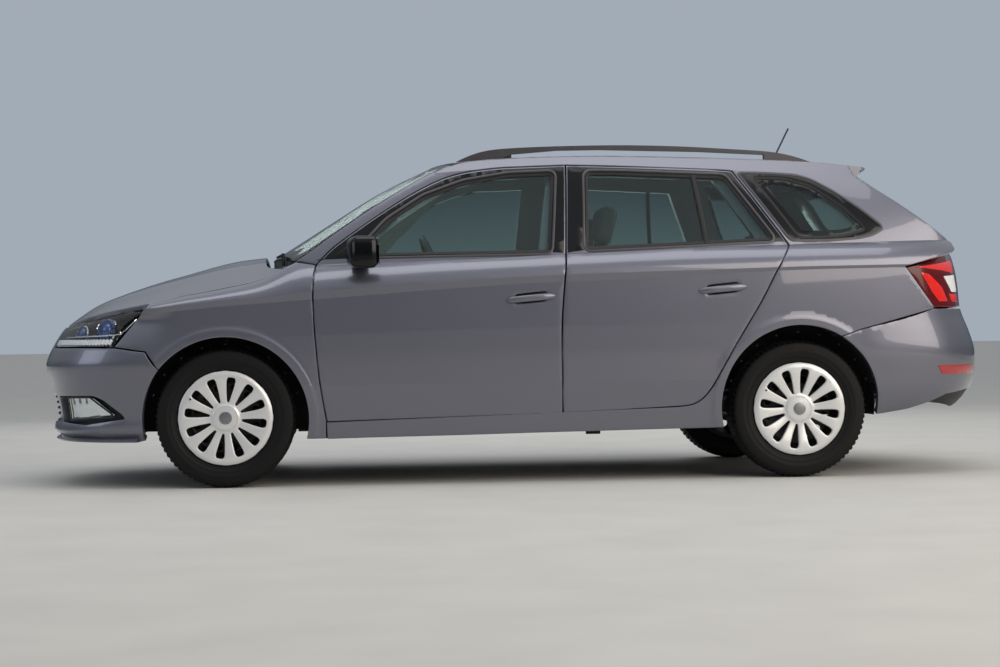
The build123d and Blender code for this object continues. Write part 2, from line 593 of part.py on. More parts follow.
def make_wheel(s, y, side):
    """Tyre, steel rim, trim cover and brake with hub for the wheel centred at y."""
    half = TYRE_WIDTH / 2
    rim_half = RIM_WIDTH / 2
    bead = RIM_RADIUS - 12
    seat = rim_half - 6 - SEAT_GAP
    tyre_face = Face(Wire([
        Edge.make_line(Vector(bead, -seat, 0), Vector(bead, seat, 0)),
        Edge.make_line(Vector(bead, seat, 0), Vector(RIM_RADIUS + 1, seat, 0)),
        Edge.make_line(Vector(RIM_RADIUS + 1, seat, 0), Vector(RIM_RADIUS + 10, half - 12, 0)),
        Edge.make_bezier(Vector(RIM_RADIUS + 10, half - 12, 0), Vector(TYRE_RADIUS - 40, half + 8, 0),
                         Vector(TYRE_RADIUS - 12, half - 8, 0)),
        Edge.make_bezier(Vector(TYRE_RADIUS - 12, half - 8, 0), Vector(TYRE_RADIUS, half - 20, 0),
                         Vector(TYRE_RADIUS, half - 32, 0)),
        Edge.make_line(Vector(TYRE_RADIUS, half - 32, 0), Vector(TYRE_RADIUS, 32 - half, 0)),
        Edge.make_bezier(Vector(TYRE_RADIUS, 32 - half, 0), Vector(TYRE_RADIUS, 20 - half, 0),
                         Vector(TYRE_RADIUS - 12, 8 - half, 0)),
        Edge.make_bezier(Vector(TYRE_RADIUS - 12, 8 - half, 0), Vector(TYRE_RADIUS - 40, -half - 8, 0),
                         Vector(RIM_RADIUS + 10, 12 - half, 0)),
        Edge.make_line(Vector(RIM_RADIUS + 10, 12 - half, 0), Vector(RIM_RADIUS + 1, -seat, 0)),
        Edge.make_line(Vector(RIM_RADIUS + 1, -seat, 0), Vector(bead, -seat, 0)),
    ]))
    tyre = Pos(at(s), y, TYRE_RADIUS) * Solid.revolve(tyre_face, 360, Axis.Y)
    rim = turned([(bead - 4, rim_half - 6), (RIM_RADIUS, rim_half - 6), (RIM_RADIUS, rim_half),
                  (bead - 8, rim_half), (bead - 22, rim_half - 30), (150, 18), (75, 12), (62, 34),
                  (38, 34), (38, 28), (56, 28), (70, 6), (150, 8), (bead - 28, -20),
                  (bead - 10, -rim_half), (RIM_RADIUS, -rim_half), (RIM_RADIUS, 6 - rim_half),
                  (bead - 4, 6 - rim_half)], s, y, TYRE_RADIUS, side)
    for k in range(12):
        angle = math.radians(30 * k + 15)
        hole = Pos(at(s) + 128 * math.cos(angle), y, TYRE_RADIUS + 128 * math.sin(angle))
        rim -= hole * Rot(90, 0, 0) * Cylinder(17, 120)
    cover = turned([(0, rim_half + 2), (56, rim_half - 2), (130, rim_half + 2),
                    (COVER_RADIUS - 22, rim_half + 6), (COVER_RADIUS - 6, rim_half + 9), (COVER_RADIUS, rim_half + 4),
                    (COVER_RADIUS - 3, rim_half + 0.3), (COVER_RADIUS - 33, rim_half + 0.3),
                    (130, rim_half - 4), (56, rim_half - 10), (38, rim_half - 14), (0, rim_half - 10)],
                   s, y, TYRE_RADIUS, side)
    for k in range(12):
        window = Rot(0, 30 * k + 9, 0) * (Pos(0, side * rim_half, 0) * cover_window())
        cover -= Pos(at(s), y, TYRE_RADIUS) * window
    hub_top = 6.0
    inner_end = abs(y) - (KNUCKLE_FACE_Y + SEAT_GAP)
    brake_radius = DISC_RADIUS if s == 0 else DRUM_RADIUS
    brake_inner = 26.0 if s == 0 else 52.0
    brake = turned([(0, hub_top + 22), (37.7, hub_top + 22), (37.7, hub_top), (70, hub_top - 0.3),
                    (70, -8), (brake_radius, -8), (brake_radius, -brake_inner), (45, -brake_inner),
                    (45, -inner_end), (0, -inner_end)], s, y, TYRE_RADIUS, side)
    return tyre, rim, cover, brake


def cover_window():
    """One petal-shaped window of the trim cover, centred on +X at its pitch radius."""
    outline = Face(Wire([
        Edge.make_line(Vector(72, 0, -5), Vector(72, 0, 5)),
        Edge.make_spline([Vector(72, 0, 5), Vector(120, 0, 15), Vector(160, 0, 27), Vector(176, 0, 22)]),
        Edge.make_line(Vector(176, 0, 22), Vector(176, 0, -22)),
        Edge.make_spline([Vector(176, 0, -22), Vector(160, 0, -27), Vector(120, 0, -15),
                          Vector(72, 0, -5)]),
    ]))
    return Pos(0, -30, 0) * Solid.extrude(outline, Vector(0, 60, 0))


# ---------------------------------------------------------------- running gear
def kingpin(z):
    """Point of the left steering axis at height z."""
    (y0, z0), (y1, z1) = KINGPIN_LOW, KINGPIN_TOP
    return (at(0), y0 + (y1 - y0) * (z - z0) / (z1 - z0), z)


def make_knuckle():
    """Left steering knuckle with its strut, along the inclined steering axis."""
    knuckle = box(-36, 36, KNUCKLE_FACE_Y - 46, KNUCKLE_FACE_Y, TYRE_RADIUS - 60, TYRE_RADIUS + 60)
    lean = (KINGPIN_LOW[0] - KINGPIN_TOP[0]) / (KINGPIN_TOP[1] - KINGPIN_LOW[1])
    low = KINGPIN_LOW[1] + KNUCKLE_FOOT_RADIUS * lean + SEAT_GAP
    top = KINGPIN_TOP[1] - STRUT_ROD_RADIUS * lean - SEAT_GAP
    knuckle += rod(kingpin(low), kingpin(400), KNUCKLE_FOOT_RADIUS)
    knuckle += rod(kingpin(360), kingpin(600), STRUT_RADIUS)
    knuckle += rod(kingpin(590), kingpin(top), STRUT_ROD_RADIUS)
    return knuckle


def make_liners():
    """Inner wheel housings: a curved shell over each wheel, closed on its inner side."""
    liners = []
    for s, z, arch, inner_y, low in ((0, FRONT_ARCH_Z, FRONT_ARCH_RADIUS, 466, 230),
                                       (WHEELBASE, REAR_ARCH_Z, REAR_ARCH_RADIUS, 600, 262)):
        outer = arch + LINER_REACH
        radius = outer - LINER_THICKNESS
        shell = disc_y(s, z, outer, inner_y, 700)
        shell -= disc_y(s, z, radius, inner_y + LINER_THICKNESS, 720)
        if s == 0:
            shell += disc_y(s, z, outer, 690, 838) - disc_y(s, z, radius, 680, 850)
            shell -= rod(kingpin(560), kingpin(720), 48)
            shell -= box(-140, 140, 440, 480, 150, 420)
        else:
            shell -= box(WHEELBASE - 400, WHEELBASE + 90, 590, 630, 100, 380)
        liners.append(largest(shell - box(s - 500, s + 500, 300, 900, 0, low)))
    return liners


# ---------------------------------------------------------------- floor and structure
FLOOR_THICKNESS = 20.0
TUNNEL_HALF = 90.0
TUNNEL_TOP = 340.0
FLOOR_LINE = [(325, 240), (1640, 240), (1760, 395), (2180, 420), (3235, 420)]
BULKHEAD_S = 300.0
JACKING_POINTS = (530, 1590)
JACKING_PAD_Z = 195.0         # flat underside of the pads the jack lifts on


def make_floor():
    """Stepped floor from the bulkhead to the tail, with the bulkhead and the rear panel."""
    line = FLOOR_LINE + [(s, z - FLOOR_THICKNESS) for s, z in reversed(FLOOR_LINE)]
    floor = side_polygon(line, -722, 722)
    floor += side_polygon([(BULKHEAD_S, 220), (BULKHEAD_S, 905), (322, 915), (345, 240), (345, 220)],
                          -722, 722)
    floor += box(BULKHEAD_S + 42, 1760, -TUNNEL_HALF, TUNNEL_HALF, 220, TUNNEL_TOP)
    floor += box(1600, 1760, -170, 0, 220, TUNNEL_TOP)
    floor -= box(0, 1765, 15 - TUNNEL_HALF, TUNNEL_HALF - 15, 0, TUNNEL_TOP - 15)
    floor -= box(1615, 1765, -155, 0, 0, TUNNEL_TOP - 15)
    floor &= plan_both([(3245, 0), (3245, 500), (3180, 600), (3050, 680), (2850, 722), (0, 722),
                        (0, 0)][::-1], 0, 1000)
    floor += box(3215, 3245, -560, 560, 400, 726)
    for side in (-1, 1):
        floor += box(2070, 2120, side * 629, side * 641, 320, 405)
        for s in JACKING_POINTS:
            floor += box(s - 30, s + 30, side * 610, side * 650, JACKING_PAD_Z, 221)
    for side in (-1, 1):
        floor -= disc_y(0, FRONT_ARCH_Z, FRONT_ARCH_RADIUS + LINER_REACH, side * 466, side * FAR)
        floor -= disc_y(WHEELBASE, REAR_ARCH_Z, REAR_ARCH_RADIUS + LINER_REACH, side * 600, side * FAR)
    return floor


def make_front_structure():
    """Longitudinal rails, strut towers and the radiator crossmember of the engine bay."""
    parts = box(-640, BULKHEAD_S, 400, 464, 400, 500)
    parts += box(-640, -612, 440, 600, 540, 625)
    parts += box(-95, 95, 440, 690, KINGPIN_TOP[1], KINGPIN_TOP[1] + 12)
    parts += box(-95, 95, 440, 464, 480, KINGPIN_TOP[1] + 5)
    parts += box(-95, -83, 440, 690, 668, KINGPIN_TOP[1] + 5)
    parts += box(83, 95, 440, 690, 668, KINGPIN_TOP[1] + 5)
    both_sides = parts + parts.mirror(Plane.XZ)
    both_sides += box(-640, -612, -464, 464, 300, 590)
    both_sides += box(150, 200, 405, 440, 225, 400) + box(150, 200, -440, -405, 225, 400)
    return both_sides


def make_cowl():
    """Cowl panel under the windscreen's lower edge, behind the bonnet."""
    front = [(100, 0), (118, 300), (148, 500), (198, 640), (258, 690)]
    outline = plan_both([(345, 0), (345, 690)] + front[::-1], 800, 1100)
    cowl = crown_shell([(60, 956, 899, 715), (360, 956, 899, 715)], 18) & outline
    lip_front = [(s + 2, y) for s, y in SCREEN_BASE]
    lip_back = [(s + 26, y) for s, y in SCREEN_BASE]
    lip = plan_both(lip_back + lip_front[::-1], 880, 1100)
    cowl += lip & crown_shell(SCREEN_STATIONS, 140, -SCREEN_THICKNESS - SEAT_GAP)
    cowl -= bonnet_space()
    for y in BONNET_HINGES:
        cowl -= box(140, 330, y - 34, y + 34, 800, 1000)
    return largest(cowl)


def make_engine():
    """Engine and gearbox as one plain block across the bay."""
    block = box(-430, 90, -360, 330, 250, 770)
    return block + box(-160, -80, 330, 400, 420, 480) + box(-160, -80, -400, -360, 420, 480)


def make_subframe():
    """Front crossmember with the lower arms out to the knuckles."""
    frame = box(60, 230, -440, 440, 180, 225)
    for side in (1, -1):
        arm = [(60, side * 400), (20, side * 590), (-20, side * 640), (-12, side * 680),
               (14, side * 680), (60, side * 600), (190, side * 420), (190, side * 380)]
        frame += plan_polygon(arm, 184, KINGPIN_LOW[1])
    return frame


def make_drive_shafts():
    """Half shafts from the gearbox to the wheels."""
    shafts = []
    for side, start in ((1, 330), (-1, 360)):
        shaft = rod((at(0), side * start, TYRE_RADIUS), (at(0), side * SHAFT_END_Y, TYRE_RADIUS), 13)
        shaft += rod((at(0), side * start, TYRE_RADIUS), (at(0), side * (start + 75), TYRE_RADIUS), 42)
        shaft += rod((at(0), side * (SHAFT_END_Y - 50), TYRE_RADIUS),
                     (at(0), side * SHAFT_END_Y, TYRE_RADIUS), 38)
        shafts.append(shaft)
    return shafts


def make_rear_axle():
    """Twist beam with trailing arms and stub flanges."""
    beam = box(2215, 2275, -570, 570, 265, 330)
    for side in (1, -1):
        y = side * 590
        arm = side_polygon([(2075, 300), (2075, 370), (2130, 375), (2520, 340), (2520, 255), (2130, 285)],
                           y - 26, y + 26)
        beam += arm
        beam += rod((at(WHEELBASE), side * 600, TYRE_RADIUS),
                    (at(WHEELBASE), side * KNUCKLE_FACE_Y, TYRE_RADIUS), 48)
        beam += rod((at(2095), side * 540, 338), (at(2095), side * (629 - SEAT_GAP), 338), 30)
    return beam


def make_exhaust():
    """Exhaust pipe under the floor with its rear silencer."""
    pipe = rod((at(93), 0, 276), (at(250), 0, 262), 24)
    pipe += rod((at(240), 0, 262), (at(1650), 0, 262), 24)
    pipe += rod((at(700), 0, 262), (at(1050), 0, 262), 52)
    pipe += rod((at(1640), 0, 262), (at(2060), -250, 362), 22)
    pipe += rod((at(2050), -250, 362), (at(2760), -250, 362), 22)
    pipe += box(2750, 3000, -520, -160, 255, 385) + box(2860, 2880, -350, -330, 385, 400)
    pipe += rod((at(2990), -470, 320), (at(3150), -470, 285), 24)
    return pipe


def make_tank():
    """Fuel tank under the rear seat."""
    return side_polygon([(1790, 225), (2060, 225), (2060, 392), (1790, 376)], 70, 540)


# ---------------------------------------------------------------- cabin
FRONT_SEAT_Y = 355.0
SEAT_WIDTH = 500.0


def seat_side(origin_s, points, y0, y1, radius):
    """A cushion from its side outline, with rounded long edges."""
    solid = side_polygon([(origin_s + s, z) for s, z in points], y0, y1)
    return fillet(solid.edges().filter_by(Axis.Y), radius)


def make_front_seat(y):
    """One front seat: cushion, leaning back and headrest on its posts."""
    half = SEAT_WIDTH / 2
    cushion = seat_side(0, [(1010, 375), (1020, 485), (1480, 455), (1520, 350), (1100, 330)],
                        y - half, y + half, 25)
    back = seat_side(0, [(1420, 440), (1520, 400), (1740, 985), (1650, 1010)], y - half + 10,
                     y + half - 10, 25)
    rest = seat_side(0, [(1655, 1040), (1740, 1030), (1775, 1190), (1700, 1205)], y - 140, y + 140, 25)
    seat = cushion + back + rest
    for side in (-60, 60):
        seat += rod((at(1690), y + side, 980), (at(1715), y + side, 1100), 7)
        seat += box(1130, 1500, y + side * 3 - 15, y + side * 3 + 15, 240 + SEAT_GAP, 370)
    return seat


def make_rear_bench():
    """Rear bench with its back and three headrests."""
    bench = side_polygon([(1790, 398), (1780, 520), (1800, 535), (2230, 490), (2280, 424)], -592, 592)
    back = seat_side(0, [(2190, 480), (2290, 430), (2450, 960), (2360, 985)], -590, 590, 25)
    bench += back
    for y in (-370, 0, 370):
        rest = seat_side(0, [(2375, 990), (2450, 985), (2480, 1120), (2415, 1135)], y - 125, y + 125, 22)
        bench += rest
        for side in (-45, 45):
            bench += rod((at(2405), y + side, 940), (at(2430), y + side, 1060), 6)
    return bench


def make_dashboard():
    """Dashboard across the cabin with its centre console and steering column."""
    board = side_polygon([(345, 620), (345, 905), (420, 945), (640, 975), (760, 930), (775, 850),
                          (690, 700), (560, 600)], -690, 690)
    board += box(560, 1000, 5 - TUNNEL_HALF, TUNNEL_HALF - 5, TUNNEL_TOP, 640)
    centre, axis = Vector(*STEERING_CENTRE), Vector(*STEERING_AXIS)
    board += rod(centre - axis * 330, centre - axis * (29 + SEAT_GAP), 38)
    return board


STEERING_TILT = 24.0          # column above the horizontal, degrees
STEERING_CENTRE = (at(935), 355.0, 915.0)
STEERING_AXIS = (-math.cos(math.radians(STEERING_TILT)), 0.0, math.sin(math.radians(STEERING_TILT)))


def make_steering_wheel():
    """Rim, three spokes and boss, facing the driver."""
    plane = Plane(origin=STEERING_CENTRE, x_dir=(0, 1, 0), z_dir=STEERING_AXIS)
    wheel = plane * Torus(178, 14)
    wheel += plane * Pos(0, 0, -10) * Cylinder(62, 38)
    for angle in (0, 90, 180):
        wheel += plane * Rot(0, 0, angle) * Pos(110, 0, 0) * Box(130, 34, 14)
    return wheel


# ---------------------------------------------------------------- outside trim
RAIL_Y = 560.0
RAIL_WIDTH = 30.0
RAIL_TOP = [(1010, 1399), (1060, 1422), (1115, 1440), (1242, 1456), (1500, 1465), (1730, 1467),
            (2084, 1456), (2291, 1443), (2447, 1428), (2540, 1405), (2592, 1386)]
RAIL_GAP = [(1250, 1300), (1252, 1430), (1455, 1446), (1640, 1448), (2084, 1437), (2380, 1422),
            (2385, 1300)]


def make_rail():
    """Left roof rail on its feet."""
    rail = side_prism([RAIL_TOP, [RAIL_TOP[-1], (2592, 1340)], [(2592, 1340), (1010, 1340)],
                       [(1010, 1340), RAIL_TOP[0]]], RAIL_Y - RAIL_WIDTH / 2, RAIL_Y + RAIL_WIDTH / 2)
    rail -= side_polygon(RAIL_GAP)
    return largest(rail - crown_shell(ROOF_STATIONS, 200, SEAT_GAP))


def make_aerial():
    """Rod aerial on its base at the rear of the roof."""
    aerial = rod((at(2536), 0, 1424), (at(2540), 0, 1438), 22)
    aerial += rod((at(2538), 0, 1430), (at(2622), 0, 1596), 4)
    return aerial - crown_shell(ROOF_STATIONS, 200, SEAT_GAP)


def make_mirror():
    """Left door mirror: housing on a foot at the front corner of the window."""
    housing = side_polygon([(522, 945), (530, 1010), (562, 1050), (604, 1064), (646, 1056), (663, 998),
                            (648, 928), (575, 915)], 858, 975)
    housing = fillet(housing.edges().filter_by(Axis.Y), 12)
    return housing + side_polygon([(520, 952), (540, 975), (600, 975), (610, 950), (600, 935),
                                   (530, 935)], 785, 870)


HANDLE_DEPTH = 30.0
HANDLE_STAND = 14.0


def add_handle(door, s, z, rise):
    """Cuts a finger recess in a door and bridges it with its pull handle."""
    skin = HALF_WIDTH - 6
    door -= box(s - 75, s + 75, skin - HANDLE_DEPTH, skin + 60, z - 26, z + 26)
    bar = side_polygon([(s - 112, z - 18 - rise), (s - 112, z + 12 - rise), (s + 105, z + 16 + rise),
                        (s + 105, z - 10 + rise)], skin + 8, skin + 8 + HANDLE_STAND)
    bar += box(s - 108, s - 80, skin - 6, skin + 10, z - 14 - rise, z + 8 - rise)
    bar += box(s + 78, s + 104, skin - 6, skin + 10, z - 6 + rise, z + 12 + rise)
    return door + bar


def make_wipers():
    """Front wiper arms lying along the bottom of the windscreen."""
    wipers = []
    for side in (1, -1):
        blade = rod((at(205), side * 20, 1008), (at(244), side * 480, 1003), 5)
        pivot = rod((at(244), side * 480, 930.6), (at(244), side * 480, 1006), 8)
        wipers.append(blade + pivot)
    return wipers


# ---------------------------------------------------------------- lid hinges
TAILGATE_AXIS = (TAILGATE_SHUT_S - 60, 1384)
BONNET_FIXED = [(0, 0), (30, -26)]
BONNET_MOVING = [(0, 0), (-60, -6), (-110, -10)]
TAILGATE_FIXED = [(0, 0), (-70, -4)]
TAILGATE_MOVING = [(0, 0), (15, -80), (118, -60), (118, -14)]


def lid_knuckle(axis, path, y):
    """A hinge knuckle on a cross axis with its leaf; the path is in (s, z) from the axis."""
    s, z = axis
    plane = Plane(origin=(at(s), y, z), x_dir=(-1, 0, 0), z_dir=(0, 1, 0))
    leaf = extrude(trace(Polyline(*path), LEAF_THICKNESS), KNUCKLE_HEIGHT)
    knuckle = Pos(0, 0, KNUCKLE_HEIGHT / 2) * Cylinder(KNUCKLE_RADIUS, KNUCKLE_HEIGHT)
    return plane * (knuckle + leaf)


def lid_hinges(axis, places, fixed, moving, lid, frame):
    """Adds a fixed and a moving knuckle to frame and lid at each place across the car."""
    for y in places:
        frame += lid_knuckle(axis, fixed, y - KNUCKLE_HEIGHT - SEAT_GAP)
        lid += lid_knuckle(axis, moving, y)
    return lid, frame


# ---------------------------------------------------------------- assembly
def build():
    """All nodes as a dictionary of name to list of solids."""
    nodes = {}
    front, rear, frame = make_doors()
    roof = make_roof()
    frame = largest(frame - crown_shell(ROOF_STATIONS, ROOF_THICKNESS + 40 + SEAT_GAP, 40, 12))
    mirror = make_mirror()
    front = add_handle(front, 1302, 792, 12)
    rear = add_handle(rear, 2131, 822, 12)
    front_glass = flush_glass(FRONT_WINDOW)
    rear_glass = flush_glass(REAR_WINDOW)
    for side, flip in (("left", lambda p: p), ("right", lambda p: p.mirror(Plane.XZ))):
        nodes[f"front_door_{side}"] = [flip(front)]
        nodes[f"rear_door_{side}"] = [flip(rear)]
        nodes[f"front_door_glass_{side}"] = [flip(front_glass)]
        nodes[f"rear_door_glass_{side}"] = [flip(rear_glass)]
        nodes[f"door_mirror_{side}"] = [flip(mirror - front)]
        nodes[f"steering_knuckle_{side}"] = [flip(make_knuckle())]
    frames = both(frame)
    nodes["side_frame_left"], nodes["side_frame_right"] = frames[:1], frames[1:]
    nodes["quarter_windows"] = both(flush_glass(QUARTER_WINDOW))
    screen = make_windscreen()
    for part in frames:
        screen -= part
    nodes["windscreen"] = [largest(screen)]
    for axle, s, track in (("front", 0, TRACK_FRONT), ("rear", WHEELBASE, TRACK_REAR)):
        for side, sign in (("left", 1), ("right", -1)):
            pieces = make_wheel(s, sign * track / 2, sign)
            for name, piece in zip(("tyre", "rim", "wheel_cover", "brake"), pieces):
                nodes[f"{axle}_{side}_{name}"] = [piece]

    floor = make_floor()
    for part in frames:
        floor -= part
    bonnet, floor = lid_hinges(BONNET_AXIS, BONNET_HINGES, BONNET_FIXED, BONNET_MOVING, make_bonnet(),
                               floor)
    rear_bumper, gate, gate_glass, tail_lamp = make_tail()
    floor = largest(floor - rear_bumper)
    gate, roof = lid_hinges(TAILGATE_AXIS, TAILGATE_HINGES, TAILGATE_FIXED, TAILGATE_MOVING, gate, roof)
    nodes["roof"] = [roof]
    nodes["bonnet"] = [bonnet]
    nodes["tailgate"] = [gate]
    nodes["tailgate_glass"] = [gate_glass]
    nodes["rear_bumper"] = [rear_bumper]
    nodes["tail_lamps"] = both(largest(tail_lamp - frame))
    front_bumper, grilles, headlamp = make_nose()
    wing = make_wing()
    nodes["front_wings"] = both(wing)
    nodes["front_bumper"] = [front_bumper]
    nodes["front_grilles"] = grilles
    nodes["headlamps"] = both(headlamp)
    nodes["floor_pan"] = [floor]
    nodes["front_rails"] = [largest(make_front_structure() - floor - front_bumper
                                    - headlamp - headlamp.mirror(Plane.XZ))]
    cowl = make_cowl() - floor - screen
    for part in frames:
        cowl -= part
    nodes["cowl_panel"] = [largest(cowl)]
    nodes["engine"] = [make_engine()]
    nodes["front_subframe"] = [make_subframe()]
    nodes["drive_shafts"] = make_drive_shafts()
    nodes["rear_axle"] = [make_rear_axle()]
    nodes["exhaust"] = [make_exhaust()]
    nodes["fuel_tank"] = [make_tank() - floor]
    liners = [largest(liner - frame - wing - front_bumper - rear_bumper) for liner in make_liners()]
    nodes["wheel_arch_liners"] = [half for liner in liners for half in both(liner)]
    nodes["front_seats"] = [make_front_seat(FRONT_SEAT_Y), make_front_seat(-FRONT_SEAT_Y)]
    nodes["rear_bench"] = [make_rear_bench() - floor]
    board = make_dashboard()
    for part in frames:
        board -= part
    nodes["dashboard"] = [largest(board)]
    nodes["steering_wheel"] = [make_steering_wheel()]
    nodes["roof_rails"] = both(make_rail())
    nodes["aerial"] = [make_aerial()]
    nodes["front_wipers"] = [wiper - cowl - screen for wiper in make_wipers()]
    return nodes


os.makedirs("parts", exist_ok=True)
for node, solids in build().items():
    save(node, *solids)
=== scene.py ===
import math

import bmesh
import bpy
from mathutils import Matrix, Quaternion, Vector
from mathutils.geometry import delaunay_2d_cdt


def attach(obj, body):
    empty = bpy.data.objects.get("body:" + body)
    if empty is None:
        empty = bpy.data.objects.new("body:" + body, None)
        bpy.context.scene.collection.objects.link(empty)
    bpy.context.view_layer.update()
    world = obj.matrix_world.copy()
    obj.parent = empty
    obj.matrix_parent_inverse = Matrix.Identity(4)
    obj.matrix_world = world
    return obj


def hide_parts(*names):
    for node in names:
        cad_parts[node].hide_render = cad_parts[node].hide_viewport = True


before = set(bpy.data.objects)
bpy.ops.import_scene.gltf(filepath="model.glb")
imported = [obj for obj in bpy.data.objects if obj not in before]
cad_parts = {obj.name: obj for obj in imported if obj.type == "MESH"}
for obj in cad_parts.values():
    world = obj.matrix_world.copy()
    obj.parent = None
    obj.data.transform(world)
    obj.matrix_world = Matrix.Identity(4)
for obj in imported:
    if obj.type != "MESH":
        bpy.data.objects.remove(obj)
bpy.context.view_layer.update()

# Lengths in the tables are millimetres. s runs rearward from the front axle, y to the left, z up.
FRONT_AXLE_X = 1291.0
HALF_WIDTH = 866.0
WHEELBASE = 2470.0
TRACK_FRONT = 1463.0
TRACK_REAR = 1457.0
TYRE_RADIUS = 297.0
FRONT_ARCH = (0.0, 288.0, 352.0)
REAR_ARCH = (WHEELBASE, 314.0, 346.0)
SHUT_GAP = 5.0
# the lip round each wheel arch
LIP_RISE, LIP_WIDTH = 4.5, 30.0
LOWER_CREASE_Z = 430.0
# the waist under the windows and the front end of the cabin
WAIST_Z = 960.0
CABIN_FRONT_S = 430.0
SIDES = (("left", 1), ("right", -1))

SIDE_STATIONS = [
    (240, -5, 200, 786, 817, 938, 715, 1300, 575, 1330, 545),
    (420, -4, 201, 797, 832, 946, 752, 1310, 594, 1340, 562),
    (800, -1, 206, 824, 853, 957, 783, 1335, 622, 1366, 584),
    (1000, 0, 208, 836, 866, 963, 790, 1352, 630, 1392, 590),
    (1250, 0, 212, 851, 880, 971, 794, 1366, 638, 1411, 597),
    (1600, 0, 216, 862, 892, 985, 795, 1368, 641, 1417, 600),
    (2000, 0, 221, 878, 901, 1000, 792, 1356, 640, 1409, 598),
    (2470, -2, 226, 898, 912, 1012, 780, 1338, 626, 1392, 588),
    (2800, -13, 232, 903, 916, 1020, 760, 1318, 606, 1370, 574),
    (2950, -33, 236, 905, 918, 1024, 738, 1308, 592, 1358, 562),
    (3080, -67, 240, 906, 919, 1027, 705, 1300, 572, 1348, 545),
    (3180, -122, 244, 907, 920, 1029, 655, 1294, 545, 1340, 522),
    (3290, -220, 250, 908, 921, 1030, 560, 1290, 500, 1330, 480),
]
WING_STATIONS = [
    (-480, -68, 700, 722, 748, 722), (-340, -30, 735, 757, 784, 734), (-200, -18, 752, 776, 815, 739),
    (0, -8, 770, 796, 851, 741), (150, -6, 780, 807, 886, 739), (300, -5, 790, 822, 956, 730),
    (420, -4, 797, 832, 966, 745),
]
ROOF_STATIONS = [
    (880, 1402, 1377, 585), (1000, 1417, 1392, 590), (1250, 1438, 1411, 597), (1600, 1449, 1417, 600),
    (2000, 1444, 1409, 598), (2470, 1426, 1392, 588), (2700, 1411, 1377, 580), (2860, 1395, 1364, 570),
]
BONNET_STATIONS = [
    (-735, 704, 640, 560), (-680, 742, 682, 600), (-600, 796, 722, 640), (-500, 838, 752, 690),
    (-340, 892, 784, 728), (-200, 931, 815, 732), (0, 984, 851, 734), (150, 1004, 885, 733),
    (300, 1014, 956, 724),
]
NOSE_LEVELS = [
    (205, -752, 0.930), (240, -803, 0.955), (300, -790, 0.965), (434, -812, 0.985),
    (518, -836, 1.000), (575, -820, 1.000), (640, -790, 0.995), (705, -735, 0.985),
    (775, -610, 0.970),
]
TAIL_LEVELS = [
    (262, 3290, 0.940), (300, 3345, 0.955), (365, 3392, 0.975), (430, 3414, 0.985),
    (535, 3415.2, 1.000), (620, 3392, 1.000), (724, 3352, 0.998), (833, 3340, 0.996),
    (918, 3326, 0.990), (990, 3305, 0.930), (1040, 3237, 0.892), (1100, 3156, 0.862),
    (1166, 3069, 0.835), (1230, 2983, 0.808), (1316, 2872, 0.772), (1385, 2790, 0.745),
]

# each end of the car: its levels and the sign of s outward
NOSE, TAIL = (NOSE_LEVELS, -1), (TAIL_LEVELS, 1)


def at(s):
    """Frame X in metres of the station s."""
    return (FRONT_AXLE_X - s) / 1000


# ---------------------------------------------------------------- surfaces
def row_at(table, s):
    """A row of a station table at s, smoothly interpolated."""
    s = min(max(s, table[0][0]), table[-1][0])
    i = 0
    while i < len(table) - 2 and s > table[i + 1][0]:
        i += 1
    p1, p2 = table[i], table[i + 1]
    p0 = table[i - 1] if i else p1
    p3 = table[i + 2] if i + 2 < len(table) else p2
    span = p2[0] - p1[0]
    t = (s - p1[0]) / span
    row = []
    for a0, a1, a2, a3 in zip(p0, p1, p2, p3):
        before = (a2 - a0) / (p2[0] - p0[0]) * span
        after = (a3 - a1) / (p3[0] - p1[0]) * span
        row.append(a1 * (2 * t**3 - 3 * t**2 + 1) + before * (t**3 - 2 * t**2 + t)
                   + a2 * (3 * t**2 - 2 * t**3) + after * (t**3 - t**2))
    return row


def bezier(points, t):
    """Point of a Bezier curve of any order."""
    points = list(points)
    while len(points) > 1:
        points = [tuple(a + (b - a) * t for a, b in zip(p, q)) for p, q in zip(points, points[1:])]
    return points[0]


def smooth(t):
    """Eases from 0 to 1 with level ends."""
    t = min(max(t, 0.0), 1.0)
    return t * t * (3 - 2 * t)


def mix(a, b, t):
    """The value a share t of the way from a to b."""
    return a + (b - a) * t


PROFILES = {}


def profile(kind, s):
    """Section of the side or the wing at s as points (z, y), from the sill up."""
    key = (kind, round(s, 1))
    if key not in PROFILES:
        if kind == "side":
            _, dw, sill, low, top, belt, belt_y, high, high_y, roof, roof_y = row_at(SIDE_STATIONS, s)
        else:
            _, dw, low, top, belt, belt_y = row_at(WING_STATIONS, s)
            sill = 200
        w = HALF_WIDTH + dw
        points = [(sill, w - 42)]
        steps = [i / 12 for i in range(13)]
        points += [bezier([(LOWER_CREASE_Z, w - 8), ((LOWER_CREASE_Z + low) / 2, w + 2), (low, w - 4)], t)
                   for t in steps]
        if kind == "side":
            points += [bezier([(top, w), (top + 0.62 * (belt - top), w - 6), (belt, belt_y)], t)
                       for t in steps]
            points += [bezier([(belt, belt_y), ((belt + high) / 2 + 12, (belt_y + high_y) / 2 + 18),
                               (high, high_y)], t) for t in steps[1:]]
            points.append((roof, roof_y))
        else:
            points += [bezier([(top, w), (top + 0.72 * (belt - top), w - 8), (belt, belt_y)], t)
                       for t in steps]
        PROFILES[key] = points
    return PROFILES[key]


